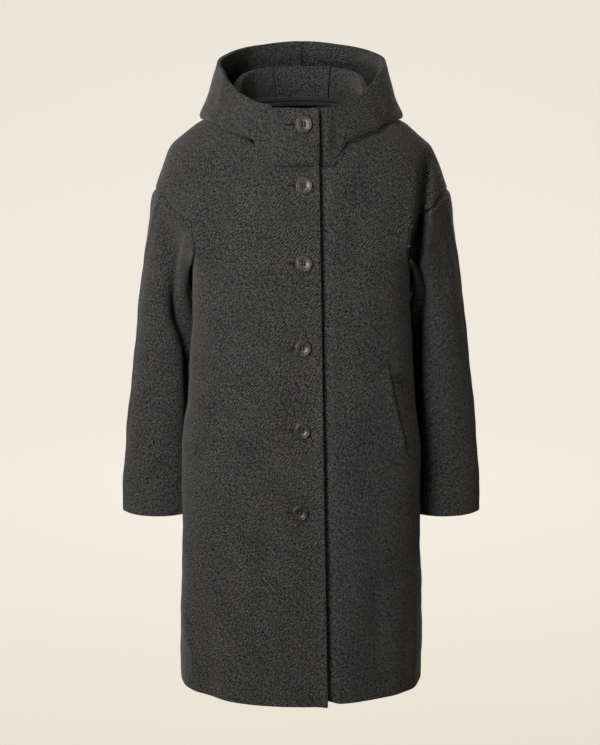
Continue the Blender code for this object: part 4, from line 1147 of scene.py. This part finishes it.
def on_front(seat, right, up, lift):
    """Places on the upper front's face near a button."""
    if seat.height is None:
        def surface(x, knot):
            return hood_point(turn_at(x, neck_front), knot)
        place, steps = (seat.x + right, seat.hood_knot + up / HOOD_KNOT_RISE), (HEIGHT_STEP, SLIT_KNOT_STEP)
    else:
        def surface(x, height):
            return body_point(turn_at(x, height), height)
        place, steps = (seat.x + right, seat.height + up), (HEIGHT_STEP, HEIGHT_STEP)
    points, normals = outward_at(surface, *np.broadcast_arrays(*place), *steps)
    relief = hand(points) + lift
    if seat.height is not None:
        relief = relief + creased(points[..., 0], points[..., 2], FRONT_CREASES)
    return points + normals * relief[..., None]


# Each slit is a thin near-black sheet laid just over the front: painted shadow in the opening.
purl, slit_shadow = [], bmesh.new()
for seat, length in zip(BUTTONS, SLIT_LENGTHS):
    start, end = -BUTTON_RADIUS * SLIT_TUCK, -BUTTON_RADIUS - length
    places = np.linspace(start, end, SLIT_COLUMNS)
    widths = SLIT_WIDTH / 2 * np.sqrt(np.linspace(1.0, 0.0, SLIT_COLUMNS).clip(SLIT_POINT))
    sides = [on_front(seat, places, s * widths, SLIT_LIFT).tolist() for s in (-1, 1)]
    rows = [[slit_shadow.verts.new(point) for point in pair] for pair in zip(*sides)]
    for a, b in zip(rows, rows[1:]):
        slit_shadow.faces.new((a[0], a[1], b[1], b[0]))
    for s in (-1, 1):
        steps = np.arange(start, end, -PURL_STEP)
        out = SLIT_WIDTH / 2 + PURL_WIDTH * (np.arange(len(steps)) % 2)
        purl.append(on_front(seat, steps, s * out, PURL_LIFT))
    bars = np.linspace(-TACK_HEIGHT / 2, TACK_HEIGHT / 2, TACK_TURNS)
    purl.append(on_front(seat, end - TACK_WIDTH * (np.arange(TACK_TURNS) % 2), bars, PURL_LIFT))
bmesh.ops.recalc_face_normals(slit_shadow, faces=slit_shadow.faces)
slit_shadow_mesh = bpy.data.meshes.new("buttonhole_slit_shadows")
slit_shadow.to_mesh(slit_shadow_mesh)
slit_shadow.free()
slit_shadow_mesh.materials.append(new_finish("buttonhole shadow", SHADOW_SURFACE)[0])
slit_shadows = placed("buttonhole_slit_shadows", slit_shadow_mesh)
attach(slit_shadows, "root")
sewn("buttonhole_stitches", purl, PURL_THREAD, THREAD_AND_SHADE)

# Stitched details
# A felled row down the facing at the hem corner, and two dark rows across the top of each pocket's mouth.
# Thin dark threads laid along each pocket's mouth and in the side, armhole, stand and crown seams, and thick
# dark rows along the front neck seam, are painted seam shadow. Inside the hood two tapes cover the neck seam
# and a ridge the crown.
STITCH_LENGTH, STITCH_GAP, STITCH_ARCH, STITCH_POINTS = 0.0032, 0.0012, 0.0005, 4
HEM_CORNER_X, HEM_CORNER_TOP, HEM_CORNER_FOOT = 0.028, -0.889, 0.003
HEM_ROW_LIFT, HEM_THREAD = 0.0006, 0.0007
TAB_SHARES, TAB_FOOTS, TAB_SLANT, TAB_POINTS = (0.06, 0.74), (0.810, 0.880), 0.05, 16
TAB_LIFTS = {-1: -0.0004, 1: 0.0032}
MOUTH_LINE, MOUTH_ENDS, MOUTH_END_LIFT, MOUTH_END_FADE = 0.03, (-0.05, 1.07), 0.0009, 0.2
MOUTH_LINE_LIFT = 0.6 * MOUTH_LIFT
NECK_DITCHES, NECK_DITCH_LIFT = ((-0.041, 0.017), (0.034, 0.054)), 0.0010
ROW_THICKNESS = 0.0027
TAPE_THICKNESS, TAPE_TURN, TAPE_KNOT, TAPE_DROPS = 0.0086, 75.0, 0.10, (0.0, 0.0072)
CROWN_THICKNESS, CROWN_SINK, CROWN_END = 0.0036, 0.0016, 6.97
TAPE_POINTS, DITCH_POINTS, ARMHOLE_DITCH_POINTS, SIDE_DITCH_POINTS = 31, 24, 50, 90
SHADE_LINE_THICKNESS, DITCH_SINK, SIDE_DITCH, ARMHOLE_DITCH = 0.0016, 0.0009, (0.002, 1.0), (0.03, 0.97)
STAND_DITCH, STAND_DITCH_FOOT, CROWN_DITCH, CROWN_DITCH_KNOTS = 0.0048, 0.15, (0.0048, 0.0074), (4.6, 6.98)


def running(spot, length):
    """Stitches of a row, each a small arch, along a line given by its length."""
    t = np.linspace(0.0, 1.0, STITCH_POINTS)
    arch = STITCH_ARCH * (1.0 - (2.0 * t - 1.0) ** 2)
    starts = np.arange(0.0, length - STITCH_LENGTH, STITCH_LENGTH + STITCH_GAP)
    return [spot((start + STITCH_LENGTH * t) / length, arch) for start in starts]


def inwards(points):
    """Level unit steps from points to the coat's axis."""
    return -points * (1.0, 1.0, 0.0) / np.linalg.norm(points[:, :2], axis=1, keepdims=True)


hem_corner = ButtonSeat(HEM_CORNER_X, HEM_CORNER_TOP, None, 0.0, 0.0)
hem_drop = HEM_CORNER_TOP - HEM - HEM_CORNER_FOOT


def hem_row(t, lift):
    """Places down the row at the hem corner."""
    return on_front(hem_corner, 0.0 * t, -hem_drop * t, lift + HEM_ROW_LIFT)


sewn("detail_stitches", running(hem_row, hem_drop), HEM_THREAD, THREAD_AND_SHADE)
shade_lines, rows = [], []
for side in (-1, 1):
    t = np.linspace(0.0, 1.0, TAB_POINTS)
    for foot in TAB_FOOTS:
        rows.append(welt_points(side, blend(*TAB_SHARES, t), foot + TAB_SLANT * t, TAB_LIFTS[side]))
    # The dark lines gathered below, along each pocket's mouth and in the side, armhole, stand and crown
    # seams, are painted seam shadow.
    from_ends = soft_step(t / MOUTH_END_FADE) * soft_step((1.0 - t) / MOUTH_END_FADE)
    lift = blend(MOUTH_END_LIFT, MOUTH_LINE_LIFT, from_ends)
    shade_lines.append(welt_points(side, MOUTH_LINE, blend(*MOUTH_ENDS, t), lift))
    level = np.linspace(*SIDE_DITCH, SIDE_DITCH_POINTS)
    side_seam = side * side_turn(level, FRONT_ARMHOLE), panel_height(level, NECK_POINT, HEM)
    shade_line, outwards = outward_at(body_point, *side_seam, TURN_STEP, HEIGHT_STEP)
    shade_lines.append(shade_line - outwards * DITCH_SINK)
    height = ARM_SEAM_HEIGHT(np.linspace(*ARMHOLE_DITCH, ARMHOLE_DITCH_POINTS))
    arm_seam = side * FRONT_ARMHOLE(height), height
    shade_line, outwards = outward_at(body_point, *arm_seam, TURN_STEP, HEIGHT_STEP)
    relief = hand(shade_line) + creased(shade_line[:, 0], shade_line[:, 2], FRONT_CREASES) - DITCH_SINK
    shade_line = shade_line + outwards * relief[:, None]
    shade_lines.append(folded(shade_line) if side > 0 else shade_line)
    upright = hood_point(side * STAND_TURN, np.linspace(STAND_DITCH_FOOT, STAND_TOP, DITCH_POINTS))
    shade_lines.append(upright + inwards(upright) * STAND_DITCH)
# Thick dark rows along the front neck seam: painted shade in the seam.
for ends in NECK_DITCHES:
    neck_turn = turn_at(np.linspace(*ends, DITCH_POINTS), neck_front)
    shade_line = body_point(neck_turn, NECK_SEAM(np.abs(neck_turn)))
    shade_line = lapped(shade_line) if ends[0] > 0.0 else shade_line
    rows.append(shade_line - (hand(shade_line) + NECK_DITCH_LIFT)[:, None] * (0.0, 1.0, 0.0))
crown = hood_point(180.0 - CROWN_SEAM_TURN, np.linspace(*CROWN_DITCH_KNOTS, DITCH_POINTS))
shade_lines.append(crown - np.linspace(*CROWN_DITCH, DITCH_POINTS)[:, None] * (0.0, 1.0, 0.0))
# Painted seam shadow: the thin dark lines, in the charcoal thread finish.
sewn("seam_shade_lines", shade_lines, SHADE_LINE_THICKNESS, THREAD_AND_SHADE)
sewn("dark_rows", rows, ROW_THICKNESS, THREAD_AND_SHADE)
tape_turns = np.linspace(-TAPE_TURN, TAPE_TURN, TAPE_POINTS)
tape = hood_point(np.copysign(180.0 - np.abs(tape_turns), tape_turns), TAPE_KNOT)
tape = tape + inwards(tape) * (WALL + TAPE_THICKNESS / 3)
tapes = [tape - (0.0, 0.0, drop) for drop in TAPE_DROPS]
sewn("neck_tape", tapes, TAPE_THICKNESS, WOOL)
crown = hood_point(180.0 - CROWN_SEAM_TURN, np.linspace(STAND_TOP, CROWN_END, DITCH_POINTS))
sewn("crown_seam", [crown - (0.0, CROWN_SINK, 0.0)], CROWN_THICKNESS, WOOL)

# Floor, light and camera
# Plain cream studio paper all round, far below the hem. It glows with painted light of its own, a painted
# pool of light brightest behind the coat that falls off to a darker cream. Two soft lamps stand at the front
# on the wearer's right, others light the sides and back, and the camera looks down a little.
PHOTO_TILT, PHOTO_DISTANCE, PHOTO_LENS = math.radians(13.0), 3.2, 96.6
AIM = Vector((-0.002, 0.0, -0.42))
CREAM_GLOW = (0.868, 0.812, 0.730, 1.0)
CREAM_GLOW_FALLOFF = (0.69, 0.62, 0.505, 1.0)
PAPER_GLOW_SURFACE = {"Base Color": (0.03, 0.028, 0.025, 1.0), "Roughness": 0.95, "Specular IOR Level": 0.1,
                 "Emission Strength": 1.0}
AIR_TINT, AIR_STRENGTH = (1.0, 0.97, 0.93, 1.0), 0.02
GLOW, GLOW_NEAR, GLOW_FAR = (0.0, 4.9, -1.1), 1.6, 7.0
PAPER_FLOOR, PAPER_FLAT, PAPER_CURVE, PAPER_TOP, PAPER_SIDES, PAPER_BENDS = -1.35, 6.0, 1.8, 6.0, 72, 16
path = [(0.0, PAPER_FLOOR), (PAPER_FLAT, PAPER_FLOOR)]
path += [(PAPER_FLAT + PAPER_CURVE * math.sin(a), PAPER_FLOOR + PAPER_CURVE * (1.0 - math.cos(a)))
         for a in np.linspace(0.1, math.pi / 2, PAPER_BENDS)]
path += [(PAPER_FLAT + PAPER_CURVE, PAPER_TOP)]
sweep_mesh = spun("studio_floor", path, PAPER_SIDES)
sweep_mesh.flip_normals()
sweep_mesh.shade_smooth()
paper, paper_shader, paper_start = new_finish("glowing cream studio paper", PAPER_GLOW_SURFACE)
# The glow is painted light: cream near a point behind the coat, fading to a darker cream further away.
spot = paper_start.node("ShaderNodeTexCoord", {}, {}, 3)
spread = paper_start.node("ShaderNodeVectorMath", {"operation": "DISTANCE"}, {0: spot, 1: GLOW}, 1)
fall = spread.node("ShaderNodeMapRange", {"interpolation_type": "SMOOTHSTEP"},
                   {0: spread, 1: GLOW_NEAR, 2: GLOW_FAR})
paper_start.mix(fall, CREAM_GLOW, CREAM_GLOW_FALLOFF).into(paper_shader, "Emission Color")
sweep_mesh.materials.append(paper)
floor = placed("studio_floor", sweep_mesh)
floor.visible_diffuse = False
floor.visible_glossy = False

Lamp = namedtuple("Lamp", "name place aim size power tint")
LAMPS = [
    Lamp("key", (-1.0, -1.6, 1.2), (0.0, 0.0, -0.3), 0.9, 23.5, (1.0, 0.985, 0.97)),
    Lamp("front", (-0.85, -1.8, -0.10), (0.0, 0.0, -0.3), 0.8, 20.0, (1.0, 0.985, 0.97)),
    Lamp("fill", (2.6, -2.4, 0.2), (0.0, 0.0, -0.45), 1.8, 12.0, (1.0, 0.95, 0.88)),
    Lamp("back", (0.0, 3.2, 0.2), (0.0, 0.0, -0.4), 1.4, 60.0, (1.0, 0.96, 0.90)),
    Lamp("left side", (-2.8, 1.0, -0.1), (0.0, 0.0, -0.4), 1.2, 8.0, (1.0, 0.95, 0.88)),
    Lamp("right side", (2.8, 1.0, -0.1), (0.0, 0.0, -0.4), 1.2, 9.0, (1.0, 0.95, 0.88)),
    Lamp("left rim", (-1.5, 2.2, 0.2), (0.0, 0.0, -0.4), 0.8, 24.0, (1.0, 0.93, 0.84)),
    Lamp("right rim", (1.5, 2.2, 0.2), (0.0, 0.0, -0.4), 0.8, 24.0, (1.0, 0.93, 0.84)),
]
for lamp in LAMPS:
    light = bpy.data.lights.new(lamp.name, "AREA")
    light.shape = "DISK"
    light.size = lamp.size
    light.energy = lamp.power
    light.color = lamp.tint
    stood = placed(lamp.name, light)
    stood.location = lamp.place
    stood.rotation_euler = (Vector(lamp.aim) - Vector(lamp.place)).to_track_quat("-Z", "Y").to_euler()
    stood.visible_camera = False

air = bpy.data.worlds.new("studio air")
air.use_nodes = True
air.node_tree.nodes["Background"].inputs["Color"].default_value = AIR_TINT
air.node_tree.nodes["Background"].inputs["Strength"].default_value = AIR_STRENGTH
bpy.context.scene.world = air
bpy.context.scene.view_settings.view_transform = "Standard"

lens = bpy.data.cameras.new("photo_camera")
lens.lens = PHOTO_LENS
lens.sensor_width = 36.0
camera = placed("photo_camera", lens)
away = Vector((0.0, -math.cos(PHOTO_TILT), math.sin(PHOTO_TILT)))
camera.location = AIM + away * PHOTO_DISTANCE
camera.rotation_euler = (-away).to_track_quat("-Z", "Y").to_euler()
bpy.context.scene.camera = camera
